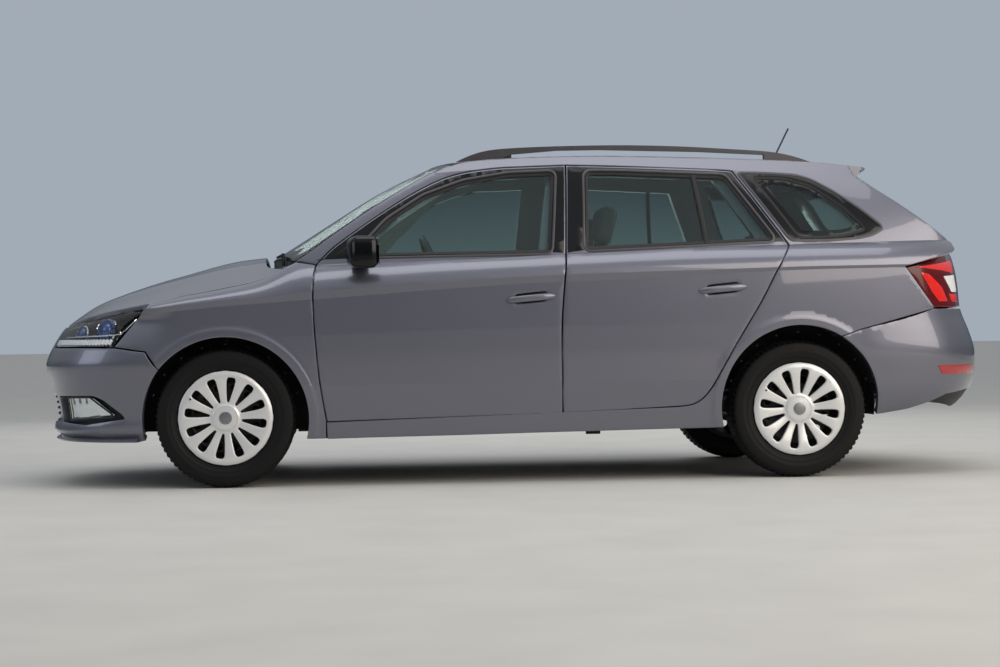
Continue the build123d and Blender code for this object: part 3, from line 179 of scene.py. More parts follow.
def along(points, z):
    """y of a section at the height z."""
    if z <= points[0][0]:
        return points[0][1]
    for (z0, y0), (z1, y1) in zip(points, points[1:]):
        if z <= z1:
            return y0 if z1 == z0 else mix(y0, y1, (z - z0) / (z1 - z0))
    (z0, y0), (z1, y1) = points[-2:]
    return y1 + (y1 - y0) / max(z1 - z0, 1e-6) * (z - z1)


def arch_lip(s, z):
    """The raised lip round the wheel arches."""
    gaps = [math.hypot(s - arch_s, z - arch_z) - radius for arch_s, arch_z, radius in
            (FRONT_ARCH, REAR_ARCH)]
    return LIP_RISE * (1 - smooth((min(gaps) - LIP_WIDTH) / 16))


def end_curve(end, t, z):
    """Plan curve of the nose or tail at the height z: (s, y)."""
    levels, sign = end
    _, s, k = row_at(levels, z)
    return bezier([(s, 0), (s, 470 * k), (s - sign * 90, 815 * k), (s - sign * 580, 852 * k)], t)


# an end's plan curve spans this far from the middle; past it the skin blends into the side
END_SPAN = 1300.0
END_SLOPE, END_BLEND = 0.075, 120.0


def end_point(end, w, z):
    """Point (s, y) of an end's skin; w runs from the middle of the car round the corner."""
    t = abs(w) / END_SPAN
    side = 1 if w >= 0 else -1
    if t <= 1:
        s, y = end_curve(end, t, z)
        return s, y * side
    s1, y1 = end_curve(end, 1, z)
    d = abs(w) - END_SPAN
    s = s1 - end[1] * d
    target = along(profile("side" if end is TAIL else "wing", s), z)
    return s, side * mix(y1 + END_SLOPE * d, target, smooth(d / END_BLEND))


def end_w(end, z, s=None, y=None):
    """w of the point with the given s (on the left side) or y, at the height z."""
    low, high = 0.0, END_SPAN + 320
    for _ in range(40):
        middle = (low + high) / 2
        ps, py = end_point(end, middle, z)
        further = (py < abs(y)) if y is not None else (end[1] * (ps - s) > 0)
        low, high = (middle, high) if further else (low, middle)
    return math.copysign(low, y) if y is not None else low


# the side carries the rear arch's lip behind this station; the front arch lies in the wing
REAR_LIP_S = 1800.0


def side_y(s, z):
    """y of the body side's skin behind the wing."""
    return along(profile("side", s), z) + (arch_lip(s, z) if s > REAR_LIP_S else 0)


# ahead of this station the wing's skin passes over into the nose's corner
WING_BLEND_S = -180.0


def wing_y(s, z):
    """y of the wing's skin, meeting the nose's corner in front."""
    y = along(profile("wing", s), z)
    if s < WING_BLEND_S:
        level = min(z, NOSE_LEVELS[-1][0])
        corner = end_point(NOSE, end_w(NOSE, level, s=s), level)[1]
        y = mix(y, corner, smooth((WING_BLEND_S - s) / 140) * (1 - smooth((z - 690) / 80)))
    return y + arch_lip(s, z)


def crown(table, s, y):
    """z of a crowned panel."""
    _, centre, edge, edge_y = row_at(table, s)
    return centre - (centre - edge) * (y / edge_y) ** 2


def bonnet_z(s, y):
    """z of the bonnet, with the two low ridges that run along it."""
    ridge = 5 * math.exp(-(((abs(y) - (430 + 0.12 * s)) / 55) ** 2)) * smooth((s + 700) / 300)
    return crown(BONNET_STATIONS, s, y) + ridge


# ---------------------------------------------------------------- finishes
def linear(code):
    """Linear colour of an sRGB hex code."""
    parts = [int(code[i:i + 2], 16) / 255 for i in (1, 3, 5)]
    return [c / 12.92 if c <= 0.04045 else ((c + 0.055) / 1.055) ** 2.4 for c in parts]


def add(tree, kind, inputs=None, **settings):
    """A new shader node with its settings and input values or links."""
    item = tree.nodes.new(kind)
    for key, value in settings.items():
        setattr(item, key, value)
    for key, value in (inputs or {}).items():
        if isinstance(value, bpy.types.NodeSocket):
            tree.links.new(value, item.inputs[key])
        else:
            item.inputs[key].default_value = value
    return item


def finish(name, code, rough, metallic=0.0, spread=0.05, scale=60.0, bump=0.0, bump_scale=900.0,
           rough_spread=0.05, see_through=False, **shader):
    """A finish with small changes of colour and gloss over the surface."""
    material = bpy.data.materials.new(name)
    material.use_nodes = True
    tree = material.node_tree
    tree.nodes.clear()
    place = add(tree, "ShaderNodeTexCoord").outputs["Object"]
    cloud = add(tree, "ShaderNodeTexNoise", {"Vector": place, "Scale": scale, "Detail": 3.0})
    ramp = add(tree, "ShaderNodeValToRGB", {"Fac": cloud.outputs["Fac"]})
    colour = linear(code)
    for stop, factor in zip(ramp.color_ramp.elements, (1 - spread, 1 + spread)):
        stop.color = [min(c * factor, 1.0) for c in colour] + [1.0]
    ramp.color_ramp.elements[0].position = 0.3
    ramp.color_ramp.elements[1].position = 0.7
    gloss = add(tree, "ShaderNodeMapRange", {
        "Value": cloud.outputs["Fac"], "To Min": max(rough - rough_spread, 0.0),
        "To Max": min(rough + rough_spread, 1.0)})
    values = {"Base Color": ramp.outputs["Color"], "Roughness": gloss.outputs["Result"],
              "Metallic": metallic}
    values.update(shader)
    if bump:
        grain = add(tree, "ShaderNodeTexNoise", {"Vector": place, "Scale": bump_scale, "Detail": 2.0})
        relief = add(tree, "ShaderNodeBump", {"Height": grain.outputs["Fac"], "Strength": bump,
                                              "Distance": 0.001})
        values["Normal"] = relief.outputs["Normal"]
    surface = add(tree, "ShaderNodeBsdfPrincipled", values).outputs[0]
    if see_through:
        shadow = add(tree, "ShaderNodeLightPath").outputs["Is Shadow Ray"]
        clear = add(tree, "ShaderNodeBsdfTransparent", {"Color": colour + [1.0]}).outputs[0]
        surface = add(tree, "ShaderNodeMixShader", {0: shadow, 1: surface, 2: clear}).outputs[0]
    add(tree, "ShaderNodeOutputMaterial", {"Surface": surface})
    return material


# metallic grey lacquer with fine flakes under a clear coat
PAINT = finish("metallic_grey_lacquer", "#6f707c", 0.36, 0.7, 0.10, 2600.0, rough_spread=0.04,
               **{"Coat Weight": 1.0, "Coat Roughness": 0.03})
# moulded black plastic of the lower trims: matt, with a fine leathery grain
BLACK = finish("grained_black_plastic", "#1b1c1e", 0.55, bump=0.35, bump_scale=1400.0)
# polished black plastic round the windows: deep black with sharp reflections
PIANO = finish("polished_black_trim", "#050507", 0.16, rough_spread=0.04,
               **{"Specular IOR Level": 0.3, "Coat Weight": 0.15, "Coat Roughness": 0.02})
# satin lacquer of the window strips and the roof rails: a soft dark metal sheen
GUIDE = finish("satin_guide_strip", "#4c4a4e", 0.34, 0.4, 0.06)
# extruded rubber of the door and glass seals: dull black
SEAL = finish("extruded_rubber", "#101112", 0.62, bump=0.2)
# tinted safety glass: clear with a faint green
GLASS = finish("green_tinted_glass", "#cfe6df", 0.0, spread=0.01, rough_spread=0.004, see_through=True,
               **{"Transmission Weight": 1.0, "IOR": 1.45})
# polished clear plastic of the lamp lenses
LENS = finish("clear_lamp_lens", "#f2f6f8", 0.01, spread=0.01, rough_spread=0.01, see_through=True,
              **{"Transmission Weight": 1.0, "IOR": 1.4})
# bright red lit bars inside the rear lamps
LIT = finish("bright_red_acrylic", "#e01f12", 0.12,
             **{"Coat Weight": 1.0, "Coat Roughness": 0.02, "Emission Color": linear("#e01f12") + [1.0],
                "Emission Strength": 0.12})
# moulded red acrylic of the reflectors and the high lamp: glossy, lets some light in
RED = finish("red_acrylic_lens", "#b3121c", 0.06, rough_spread=0.03,
             **{"Coat Weight": 1.0, "Coat Roughness": 0.02, "Transmission Weight": 0.25})
# frosted white acrylic of the lamp segments: milky with a soft gloss
WHITE = finish("frosted_white_acrylic", "#e8eaec", 0.22, spread=0.03)
# bright chrome plating: nearly a mirror
CHROME = finish("bright_chrome", "#e3e5e6", 0.07, 1.0, 0.03, rough_spread=0.03)
# silver lacquer of the wheel covers: pale metal under a satin clear coat
SILVER = finish("silver_lacquer", "#dcdddd", 0.34, 0.35, 0.05, 1800.0,
                **{"Coat Weight": 0.6, "Coat Roughness": 0.08})
# vulcanised tread rubber: matt, nearly black, unevenly toned
RUBBER = finish("tread_rubber", "#060607", 0.62, spread=0.25, scale=35.0, bump=0.5, bump_scale=700.0,
                **{"Specular IOR Level": 0.28})
# baked black enamel of the steel wheels, floor pan and axles: half gloss
ENAMEL = finish("baked_black_enamel", "#17181a", 0.45, spread=0.15, bump=0.2)
# cast iron with light rust: rough, brown grey and blotchy
IRON = finish("weathered_cast_iron", "#6a625b", 0.6, 0.7, 0.25, 45.0, bump=0.5)
# cast aluminium of the engine: pale grey and grainy
ALLOY = finish("cast_aluminium", "#9a9c9e", 0.42, 0.85, 0.10, 80.0, bump=0.5, bump_scale=500.0)
# zinc plated steel: smooth grey with a dull shine
ZINC = finish("zinc_plated_steel", "#8d9092", 0.35, 0.9, 0.10, 90.0)
# nylon sewing thread: pale grey and matt
THREAD = finish("grey_nylon_thread", "#8b8d90", 0.6, spread=0.1)
# woven seat cloth: dark grey, with a weave under a millimetre
CLOTH = finish("woven_grey_cloth", "#34363a", 0.92, spread=0.12, scale=1500.0, bump=0.8,
               bump_scale=2400.0, **{"Sheen Weight": 0.3})
# ribbed cloth of the seat bolsters and door inserts: darker, with a coarser weave
BOLSTER = finish("ribbed_black_cloth", "#1e1f22", 0.9, spread=0.12, scale=1200.0, bump=0.7,
                 bump_scale=2000.0, **{"Sheen Weight": 0.3})
# moulded skin of the dashboard and door cards: matt charcoal with a fine grain
DASH = finish("moulded_dashboard_skin", "#23252a", 0.62, bump=0.5, bump_scale=1100.0)
# loop pile carpet: very matt, speckled by its loops
CARPET = finish("loop_pile_carpet", "#1f2023", 0.97, spread=0.35, scale=900.0, bump=1.0,
                bump_scale=1500.0)
# napped cloth of the headlining: pale warm grey
LINING = finish("napped_headlining", "#8f8f8c", 0.95, spread=0.08, scale=900.0, bump=0.5)
# coated glass of the projector lamps: a dark blue shine
BLUE = finish("coated_projector_glass", "#1c3c74", 0.05, 0.3, 0.1, **{"Coat Weight": 1.0})
# pressed and enamelled number plate: smooth off-white
PLATE = finish("pressed_plate_enamel", "#d8d9d6", 0.35, spread=0.03)
# silvered mirror glass
MIRROR = finish("silvered_mirror", "#eef0f1", 0.01, 1.0, 0.01, rough_spread=0.01)
# smoked cover of the rear lamps: dark red over the lit bars
SMOKE = finish("smoked_lamp_cover", "#5c070c", 0.2, spread=0.1, rough_spread=0.03,
               **{"Specular IOR Level": 0.35, "Coat Weight": 0.25, "Coat Roughness": 0.02})


# ---------------------------------------------------------------- mesh tools
def piece(name, bm, materials, body, smooth_angle=30.0, replaces=()):
    """Makes an object from a bmesh and lets it ride on a body."""
    mesh = bpy.data.meshes.new(name)
    bm.to_mesh(mesh)
    bm.free()
    for material in materials if isinstance(materials, list) else [materials]:
        mesh.materials.append(material)
    sharp = [e.use_edge_sharp for e in mesh.edges]
    mesh.polygons.foreach_set("use_smooth", [True] * len(mesh.polygons))
    mesh.set_sharp_from_angle(angle=math.radians(smooth_angle))
    for edge, keep in zip(mesh.edges, sharp):
        if keep:
            edge.use_edge_sharp = True
    obj = bpy.data.objects.new(name, mesh)
    bpy.context.scene.collection.objects.link(obj)
    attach(obj, body)
    if replaces:
        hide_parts(*replaces)
    return obj


def flipped(bm):
    """Mirrors a bmesh to the other side of the car."""
    for v in bm.verts:
        v.co.y = -v.co.y
    bmesh.ops.reverse_faces(bm, faces=bm.faces)
    return bm


def cad_bmesh(node):
    """Mesh of a CAD node with its doubled vertices merged."""
    bm = bmesh.new()
    bm.from_mesh(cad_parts[node].data)
    bm.transform(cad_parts[node].matrix_world)
    bmesh.ops.remove_doubles(bm, verts=bm.verts, dist=0.00002)
    return bm


def cad_copy(node, material, body, angle=30.0):
    """The CAD node's own shape with smooth shading in a finish."""
    return piece(f"{node}_shape", cad_bmesh(node), material, body, angle, replaces=[node])


def inside(point, loop):
    """True if a point lies in a polygon."""
    u, v = point
    result = False
    for (a, b), (c, d) in zip(loop, loop[1:] + loop[:1]):
        if (b > v) != (d > v) and u < (c - a) * (v - b) / (d - b) + a:
            result = not result
    return result


def dense(loop, step, closed=True):
    """A polyline with no piece longer than a step."""
    result = []
    for a, b in zip(loop, loop[1:] + loop[:1] if closed else loop[1:]):
        count = max(1, math.ceil(math.dist(a, b) / step))
        result += [(mix(a[0], b[0], i / count), mix(a[1], b[1], i / count)) for i in range(count)]
    return result if closed else result + [loop[-1]]


def curve_through(points, step=18.0):
    """A smooth polyline through points."""
    out = []
    padded = points[:1] + points + points[-1:]
    for p0, p1, p2, p3 in zip(padded, padded[1:], padded[2:], padded[3:]):
        count = max(1, math.ceil(math.dist(p1, p2) / step))
        for k in range(count):
            t = k / count
            out.append(tuple(
                0.5 * (2 * b + (c - a) * t + (2 * a - 5 * b + 4 * c - d) * t * t
                       + (3 * b - a - 3 * c + d) * t**3)
                for a, b, c, d in zip(p0, p1, p2, p3)))
    return out + [points[-1]]


def rounded(loop, radius, count=5):
    """A polygon with its corners rounded."""
    result = []
    for i, p in enumerate(loop):
        a, b = Vector(loop[i - 1]) - Vector(p), Vector(loop[(i + 1) % len(loop)]) - Vector(p)
        reach = min(radius, a.length * 0.45, b.length * 0.45)
        start, end = Vector(p) + a.normalized() * reach, Vector(p) + b.normalized() * reach
        for k in range(count + 1):
            result.append(bezier([tuple(start), tuple(p), tuple(end)], k / count))
    return result


def grown(loop, d):
    """A closed polygon moved outward by d."""
    area = sum(a[0] * b[1] - b[0] * a[1] for a, b in zip(loop, loop[1:] + loop[:1]))
    turn = 1 if area > 0 else -1
    result = []
    for i, p in enumerate(loop):
        before = Vector(p) - Vector(loop[i - 1])
        after = Vector(loop[(i + 1) % len(loop)]) - Vector(p)
        if before.length < 1e-6 or after.length < 1e-6:
            continue
        n1 = Vector((before.y, -before.x)).normalized() * turn
        n2 = Vector((after.y, -after.x)).normalized() * turn
        n = (n1 + n2).normalized()
        scale = 1 / max(n.dot(n1), 0.5)
        result.append((p[0] + n.x * d * scale, p[1] + n.y * d * scale))
    return result


def arc(centre_s, centre_z, radius, start, end, count=40):
    """Points of an arc; angles in degrees from +s towards +z."""
    return [(centre_s + radius * math.cos(math.radians(mix(start, end, i / count))),
             centre_z + radius * math.sin(math.radians(mix(start, end, i / count))))
            for i in range(count + 1)]


def skin(outline, place, holes=(), step=26.0, lines=(), soft_lines=(), edge=2.2, depth=14.0,
         edge_step=14.0, outward=1):
    """Thin panel over an outline: a fine mesh on place(u, v) with rolled edges turned inward.

    Holes are cut through it. Lines are kept as crisp creases, soft lines only as mesh lines."""
    inner = [grown(dense(list(outline), edge_step), -edge)]
    inner += [grown(dense(list(hole), edge_step), edge) for hole in holes]
    points, edges = [], []
    for loop in inner:
        start = len(points)
        points += loop
        edges += [(start + i, start + (i + 1) % len(loop)) for i in range(len(loop))]
    lines = [dense(line, edge_step, False) for line in lines]
    for line in lines + [dense(line, edge_step, False) for line in soft_lines]:
        start = len(points)
        points += line
        edges += [(start + i, start + i + 1) for i in range(len(line) - 1)]
    us, vs = [p[0] for p in inner[0]], [p[1] for p in inner[0]]
    cells = {}
    for p in points:
        cells.setdefault((int(p[0] // step), int(p[1] // step)), []).append(p)
    u = min(us) + step / 2
    while u < max(us):
        v = min(vs) + step / 2
        while v < max(vs):
            q = (u, v)
            cu, cv = int(u // step), int(v // step)
            close = any(math.dist(q, p) < step * 0.45
                        for a in (-1, 0, 1) for b in (-1, 0, 1) for p in cells.get((cu + a, cv + b), ()))
            if not close and inside(q, inner[0]) and not any(inside(q, h) for h in inner[1:]):
                points.append(q)
            v += step
        u += step
    flat, _, faces, _, _, _ = delaunay_2d_cdt([Vector(p) for p in points], edges, [], 0, 0.001)
    flat = [tuple(p) for p in flat]
    bm = bmesh.new()
    verts = [bm.verts.new(place(*p)) for p in flat]
    uv_of = {v: p for v, p in zip(verts, flat)}
    for corners in faces:
        middle = tuple(sum(flat[i][k] for i in corners) / 3 for k in (0, 1))
        if inside(middle, inner[0]) and not any(inside(middle, h) for h in inner[1:]):
            bm.faces.new([verts[i] for i in corners])
    bmesh.ops.delete(bm, geom=[v for v in bm.verts if not v.link_faces], context="VERTS")
    bm.normal_update()
    probe = max(bm.faces, key=lambda f: f.calc_area())
    p = uv_of[probe.verts[0]]
    here = place(*p)
    natural = (place(p[0] + 1, p[1]) - here).cross(place(p[0], p[1] + 1) - here) * outward
    if probe.normal.dot(natural) < 0:
        bmesh.ops.reverse_faces(bm, faces=bm.faces)
        bm.normal_update()
    for line in lines:
        for e in bm.edges:
            if all(on_line(uv_of[v], line) for v in e.verts):
                e.smooth = False
    turn_in(bm, edge / 1000, depth / 1000)
    return bm


def on_line(p, line):
    """True if a point lies on a polyline."""
    for a, b in zip(line, line[1:]):
        if min(a[0], b[0]) - 0.5 <= p[0] <= max(a[0], b[0]) + 0.5:
            length = math.dist(a, b)
            cross = abs((b[0] - a[0]) * (p[1] - a[1]) - (b[1] - a[1]) * (p[0] - a[0]))
            if length > 0 and cross / length < 0.3:
                return True
    return False


def turn_in(bm, radius, depth):
    """Rolls the free edges of a panel over a radius and carries them inward."""
    rim = [e for e in bm.edges if len(e.link_faces) == 1]
    out_of, normal_of = {}, {}
    for e in rim:
        face = e.link_faces[0]
        along_edge = e.verts[1].co - e.verts[0].co
        outward = along_edge.cross(face.normal)
        middle = (e.verts[0].co + e.verts[1].co) / 2
        if outward.dot(middle - face.calc_center_median()) < 0:
            outward = -outward
        for v in e.verts:
            out_of[v] = out_of.get(v, Vector()) + outward.normalized()
            normal_of[v] = v.normal.copy()
    rings = []
    for angle in (25, 55, 90):
        a = math.radians(angle)
        ring = {}
        for v, out in out_of.items():
            out = out.normalized() if out.length > 1e-9 else Vector((0, 0, 1))
            ring[v] = bm.verts.new(v.co + out * radius * math.sin(a)
                                   - normal_of[v] * radius * (1 - math.cos(a)))
        rings.append(ring)
    rings.append({v: bm.verts.new(rings[-1][v].co - normal_of[v] * depth) for v in out_of})
    for e in rim:
        corner = next(c for c in e.link_faces[0].loops if c.edge == e)
        a, b = corner.vert, corner.link_loop_next.vert
        last = {a: a, b: b}
        for ring in rings:
            bm.faces.new([last[b], last[a], ring[a], ring[b]])
            last = ring
    bm.normal_update()


def loft(rings, closed=False, merged=False):
    """Faces between neighbouring rings of points. An open row of rings gets end caps."""
    bm = bmesh.new()
    rings = [[bm.verts.new(p) for p in ring] for ring in rings]
    for first, second in zip(rings, rings[1:] + (rings[:1] if closed else [])):
        for k in range(len(first)):
            m = (k + 1) % len(first)
            bm.faces.new([first[k], first[m], second[m], second[k]])
    if not closed:
        bm.faces.new(rings[0][::-1])
        bm.faces.new(rings[-1])
    if merged:
        bmesh.ops.remove_doubles(bm, verts=bm.verts, dist=1e-7)
        bmesh.ops.dissolve_degenerate(bm, edges=bm.edges, dist=1e-7)
    bmesh.ops.recalc_face_normals(bm, faces=bm.faces)
    return bm


def sweep(path, normals, section, closed=False):
    """A section of (sideways, outward) points carried along a path, in metres.

    The normals are one direction for the whole path or one for each of its points."""
    rings = []
    n = len(path)
    if isinstance(normals, Vector):
        normals = [normals] * n
    for i, p in enumerate(path):
        before = path[i - 1] if i or closed else path[0]
        after = path[(i + 1) % n] if i < n - 1 or closed else path[-1]
        tangent = (after - before).normalized()
        up = normals[i] - tangent * normals[i].dot(tangent)
        up = up.normalized() if up.length > 1e-9 else Vector((0, 0, 1))
        side = tangent.cross(up)
        rings.append([p + side * a + up * b for a, b in section])
    return loft(rings, closed)


def circle(radius, count=10):
    """Points of a circle about the origin."""
    return [(radius * math.cos(math.tau * k / count), radius * math.sin(math.tau * k / count))
            for k in range(count)]


def block(x0, x1, y0, y1, z0, z1, bevel=0.0, segments=3):
    """A box with rounded edges, in metres."""
    bm = bmesh.new()
    bmesh.ops.create_cube(bm, size=1.0)
    for v in bm.verts:
        v.co = Vector((mix(x0, x1, v.co.x + 0.5), mix(y0, y1, v.co.y + 0.5), mix(z0, z1, v.co.z + 0.5)))
    if bevel:
        bmesh.ops.bevel(bm, geom=list(bm.edges), offset=bevel, segments=segments, profile=0.5,
                        affect="EDGES")
    bmesh.ops.recalc_face_normals(bm, faces=bm.faces)
    return bm


def joined(*parts):
    """One bmesh from several."""
    result = bmesh.new()
    for bm in parts:
        mesh = bpy.data.meshes.new("part")
        bm.to_mesh(mesh)
        bm.free()
        result.from_mesh(mesh)
        bpy.data.meshes.remove(mesh)
    return result


def revolved(points, centre, axis, count=48):
    """A closed outline of (radius, distance along the axis) turned about an axis."""
    axis = Vector(axis).normalized()
    start = axis.orthogonal().normalized()
    third = axis.cross(start)
    rings = []
    for i in range(count):
        a = math.tau * i / count
        ray = start * math.cos(a) + third * math.sin(a)
        rings.append([Vector(centre) + ray * r + axis * d for r, d in points])
    return loft(rings, True, True)


def side_place(surface, lift=0.0):
    """Maps side-view (s, z) onto the left skin."""
    return lambda s, z: Vector((at(s), (surface(s, z) + lift) / 1000, z / 1000))


def skin_normal(surface, s, z):
    """Outward normal of the left skin."""
    ds = (surface(s + 2, z) - surface(s - 2, z)) / 4
    dz = (surface(s, z + 2) - surface(s, z - 2)) / 4
    return Vector((ds, 1, -dz)).normalized()


def side_strip(points, section, closed=False):
    """A strip that follows the left side along side-view points; the section is in mm."""
    path = [side_place(side_y)(s, z) for s, z in points]
    normals = [skin_normal(side_y, s, z) for s, z in points]
    return sweep(path, normals, [(a / 1000, b / 1000) for a, b in section], closed)


def both_sides(name, bm, material, bodies, replaces="", angle=30.0):
    """Makes the left piece from a bmesh and its mirror image on the right."""
    for (side, _), body, shape in zip(SIDES, bodies, (bm, flipped(bm.copy()))):
        nodes = [f"{replaces}_{side}"] if replaces else ()
        piece(f"{name}_{side}", shape, material, body, angle, nodes)


def side_piece(name, outline, lift, material, bodies, holes=(), **settings):
    """A panel over a side-view outline, lift outside the skin, with its mirror image."""
    both_sides(name, skin(outline, side_place(side_y, lift), holes, **settings), material, bodies)


def mirrored_pair(bm):
    """A bmesh together with its mirror image."""
    return joined(bm.copy(), flipped(bm))


AHEAD, LEFT, UP = Vector((1, 0, 0)), Vector((0, 1, 0)), Vector((0, 0, 1))
BODY = ("body", "body")
FRONT_DOORS = ("front_left_door", "front_right_door")
REAR_DOORS = ("rear_left_door", "rear_right_door")


# ---------------------------------------------------------------- outlines in side view
def outline_of(segments):
    """Closed outline from straight and smooth segments."""
    loop = []
    for segment in segments:
        points = curve_through(segment) if len(segment) > 2 else dense(segment, 18, False)
        loop += points[:-1]
    return loop


DOOR_SPLIT = 1433.0
FRONT_DOOR = [
    [(393, 944), (384, 907), (378, 800), (384, 650), (402, 452), (431, 277)],
    [(431, 277), (DOOR_SPLIT, 297)],
    [(DOOR_SPLIT, 297), (DOOR_SPLIT - 2, 654), (DOOR_SPLIT + 12, 850), (1458, 973)],
    [(1458, 973), (1480, 1372)],
    [(1480, 1372), (1322, 1367), (1154, 1359), (985, 1330), (836, 1265), (662, 1158),
     (474, 1024), (393, 944)],
]
REAR_DOOR = [
    [(1465, 973), (DOOR_SPLIT + 19, 850), (DOOR_SPLIT + 5, 654), (DOOR_SPLIT + 7, 297)],
    [(DOOR_SPLIT + 7, 297), (1942, 318)],
    [(1942, 318), (2009, 331), (2068, 382), (2142, 508), (2223, 643), (2299, 767),
     (2374, 907), (2437, 1010)],
    [(2437, 1010), (2222, 1338)],
    [(2222, 1338), (2160, 1347), (1700, 1366), (1487, 1372)],
    [(1487, 1372), (1465, 973)],
]
FRONT_WINDOW = rounded([(560, 985), (1392, 992), (1425, 1338), (1230, 1331), (1030, 1298),
                        (860, 1236), (700, 1132)], 22)
REAR_WINDOW = rounded([(1555, 1003), (2370, 1036), (2180, 1318), (1700, 1337), (1572, 1338)], 22)
QUARTER_WINDOW = rounded([(2490, 1040), (2690, 1046), (2800, 1078), (2705, 1180), (2570, 1278),
                          (2455, 1312), (2310, 1315)], 30)
HANDLES = ((1302, 792, 12), (2131, 822, 12))


def arch_points(arch, start_z, end_s, end_z, front=False):
    """Points of a wheel arch edge from the height start_z round to an end point."""
    s0, z0, radius = arch
    start = math.degrees(math.asin((start_z - z0) / radius))
    start = 180 - start if front else start
    end = math.degrees(math.atan2(end_z - z0, end_s - s0))
    return arc(s0, z0, radius, start, end, 60)


def recess(handle):
    """Outline of the hollow behind a door handle."""
    s, z, rise = handle
    return rounded([(s - 72, z - 24 - rise * 0.6), (s + 72, z - 24 + rise * 0.6),
                    (s + 72, z + 22 + rise * 0.6), (s - 72, z + 22 - rise * 0.6)], 20)


front_arch = arch_points(FRONT_ARCH, 203, -277, 505)
wing_top = [(s, profile("wing", s)[-1][0] - 1) for s in range(285, -333, -24)]
WING = ([(423, 203), (423, 277), (395, 452), (377, 650), (371, 800), (377, 907), (386, 944),
         (300, 958)] + wing_top + [(-333, 760), (-463, 605), (-330, 585), (-277, 505)]
        + front_arch[::-1][1:])
doorway = grown(
    outline_of([FRONT_DOOR[0], [(431, 277), (1942, 318)], REAR_DOOR[2], REAR_DOOR[3],
                [(2222, 1338), (2160, 1347), (1700, 1366), (1480, 1372)], FRONT_DOOR[4]]), SHUT_GAP)


def nearest(loop, point):
    """Index of the point of a loop that lies nearest to a point."""
    return min(range(len(loop)), key=lambda i: math.dist(loop[i], point))


# the doorway's edge from its front lower corner, round the rear, to its front upper corner
first = nearest(doorway, (431, 272))
doorway = doorway[first:] + doorway[:first]
if doorway[4][0] < doorway[0][0] + 5:
    doorway = doorway[:1] + doorway[:0:-1]
doorway_edge = doorway[:nearest(doorway, (389, 948)) + 1]
sill_edge = [(s, profile("side", s)[0][0] + 1) for s in range(430, 2140, 60)]
roof_edge = [(s, profile("side", s)[-1][0] - 1) for s in range(2760, 1090, -40)]
SIDE_FRAME = (sill_edge + arch_points(REAR_ARCH, 222, 2651, 611, True)
              + [(2737, 639), (3080, 727), (2943, 909), (3196, 979), (3206, 988), (3200, 1020), (3095, 1100),
                 (2954, 1202), (2861, 1266), (2776, 1330)] + roof_edge
              + curve_through([(1100, 1402), (988, 1381), (838, 1313), (568, 1144), (308, 963)])
              + doorway_edge[::-1])


def crease_lines(kind, start, end):
    """The creases of the side or wing between two stations."""
    table, low, others = (SIDE_STATIONS, 3, (5, 7)) if kind == "side" else (WING_STATIONS, 2, ())
    stops = [start + (end - start) * i / 60 for i in range(61)]
    lines = [[(s, row_at(table, s)[column]) for s in stops] for column in (low, low + 1, *others)]
    return lines[:2] + [[(s, LOWER_CREASE_Z) for s in stops]] + lines[2:]


def between_columns(table, lower, upper, start, end):
    """Mesh lines that fill the band between two columns of a station table."""
    stops = [start + (end - start) * i / 60 for i in range(61)]
    return [[(s, mix(row_at(table, s)[lower], row_at(table, s)[upper], f)) for s in stops]
            for f in (0.14, 0.28, 0.42, 0.56, 0.7, 0.82, 0.92)]


def lip_lines(arch):
    """Mesh lines along the raised lip of a wheel arch."""
    s0, z0, radius = arch
    return [arc(s0, z0, radius + d, -10, 190, 70) for d in (8, 24, 30, 38, 46)]


# ---------------------------------------------------------------- painted side panels
# the side frame is cut off square behind and above this corner, where the tail's skin passes
TAIL_CORNER_S, TAIL_CORNER_Z = 3200.0, 940.0
# half the cabin's width in metres, between the inner faces of the side frames
CABIN_HALF_WIDTH = 0.79


def sunk_copy(node, body, depth=5.0):
    """The CAD node behind a fine skin: its outer face drawn in, its cabin side in trim finishes."""
    bm = cad_bmesh(node)
    for v in bm.verts:
        s, y, z = FRONT_AXLE_X - v.co.x * 1000, abs(v.co.y) * 1000, v.co.z * 1000
        limit = side_y(s, z) - depth
        if y > limit:
            v.co.y = math.copysign(limit / 1000, v.co.y)
        if s > TAIL_CORNER_S and z > TAIL_CORNER_Z:
            v.co.x = at(TAIL_CORNER_S)
    waist, front = WAIST_Z / 1000, at(CABIN_FRONT_S)
    for normal, point in (((0, 0, 1), (0, 0, waist)), ((1, 0, 0), (front, 0, 0))):
        bmesh.ops.bisect_plane(bm, geom=[*bm.verts, *bm.edges, *bm.faces], plane_co=point, plane_no=normal)
    bm.normal_update()
    for face in bm.faces:
        middle = face.calc_center_median()
        inward = -face.normal.y * math.copysign(1, middle.y)
        indoors = abs(middle.y) < CABIN_HALF_WIDTH and middle.x < front
        if indoors and inward > 0.35 and face.normal.x > -0.4:
            face.material_index = 1 if middle.z < waist else 2
    piece(f"{node}_body", bm, [PAINT, DASH, LINING], body, replaces=[node])


def clean(loop):
    """Drops points less than 1 mm from the one before."""
    result = []
    for p in loop:
        if not result or math.dist(p, result[-1]) > 1.0:
            result.append(p)
    while math.dist(result[0], result[-1]) < 1.0:
        result.pop()
    return result


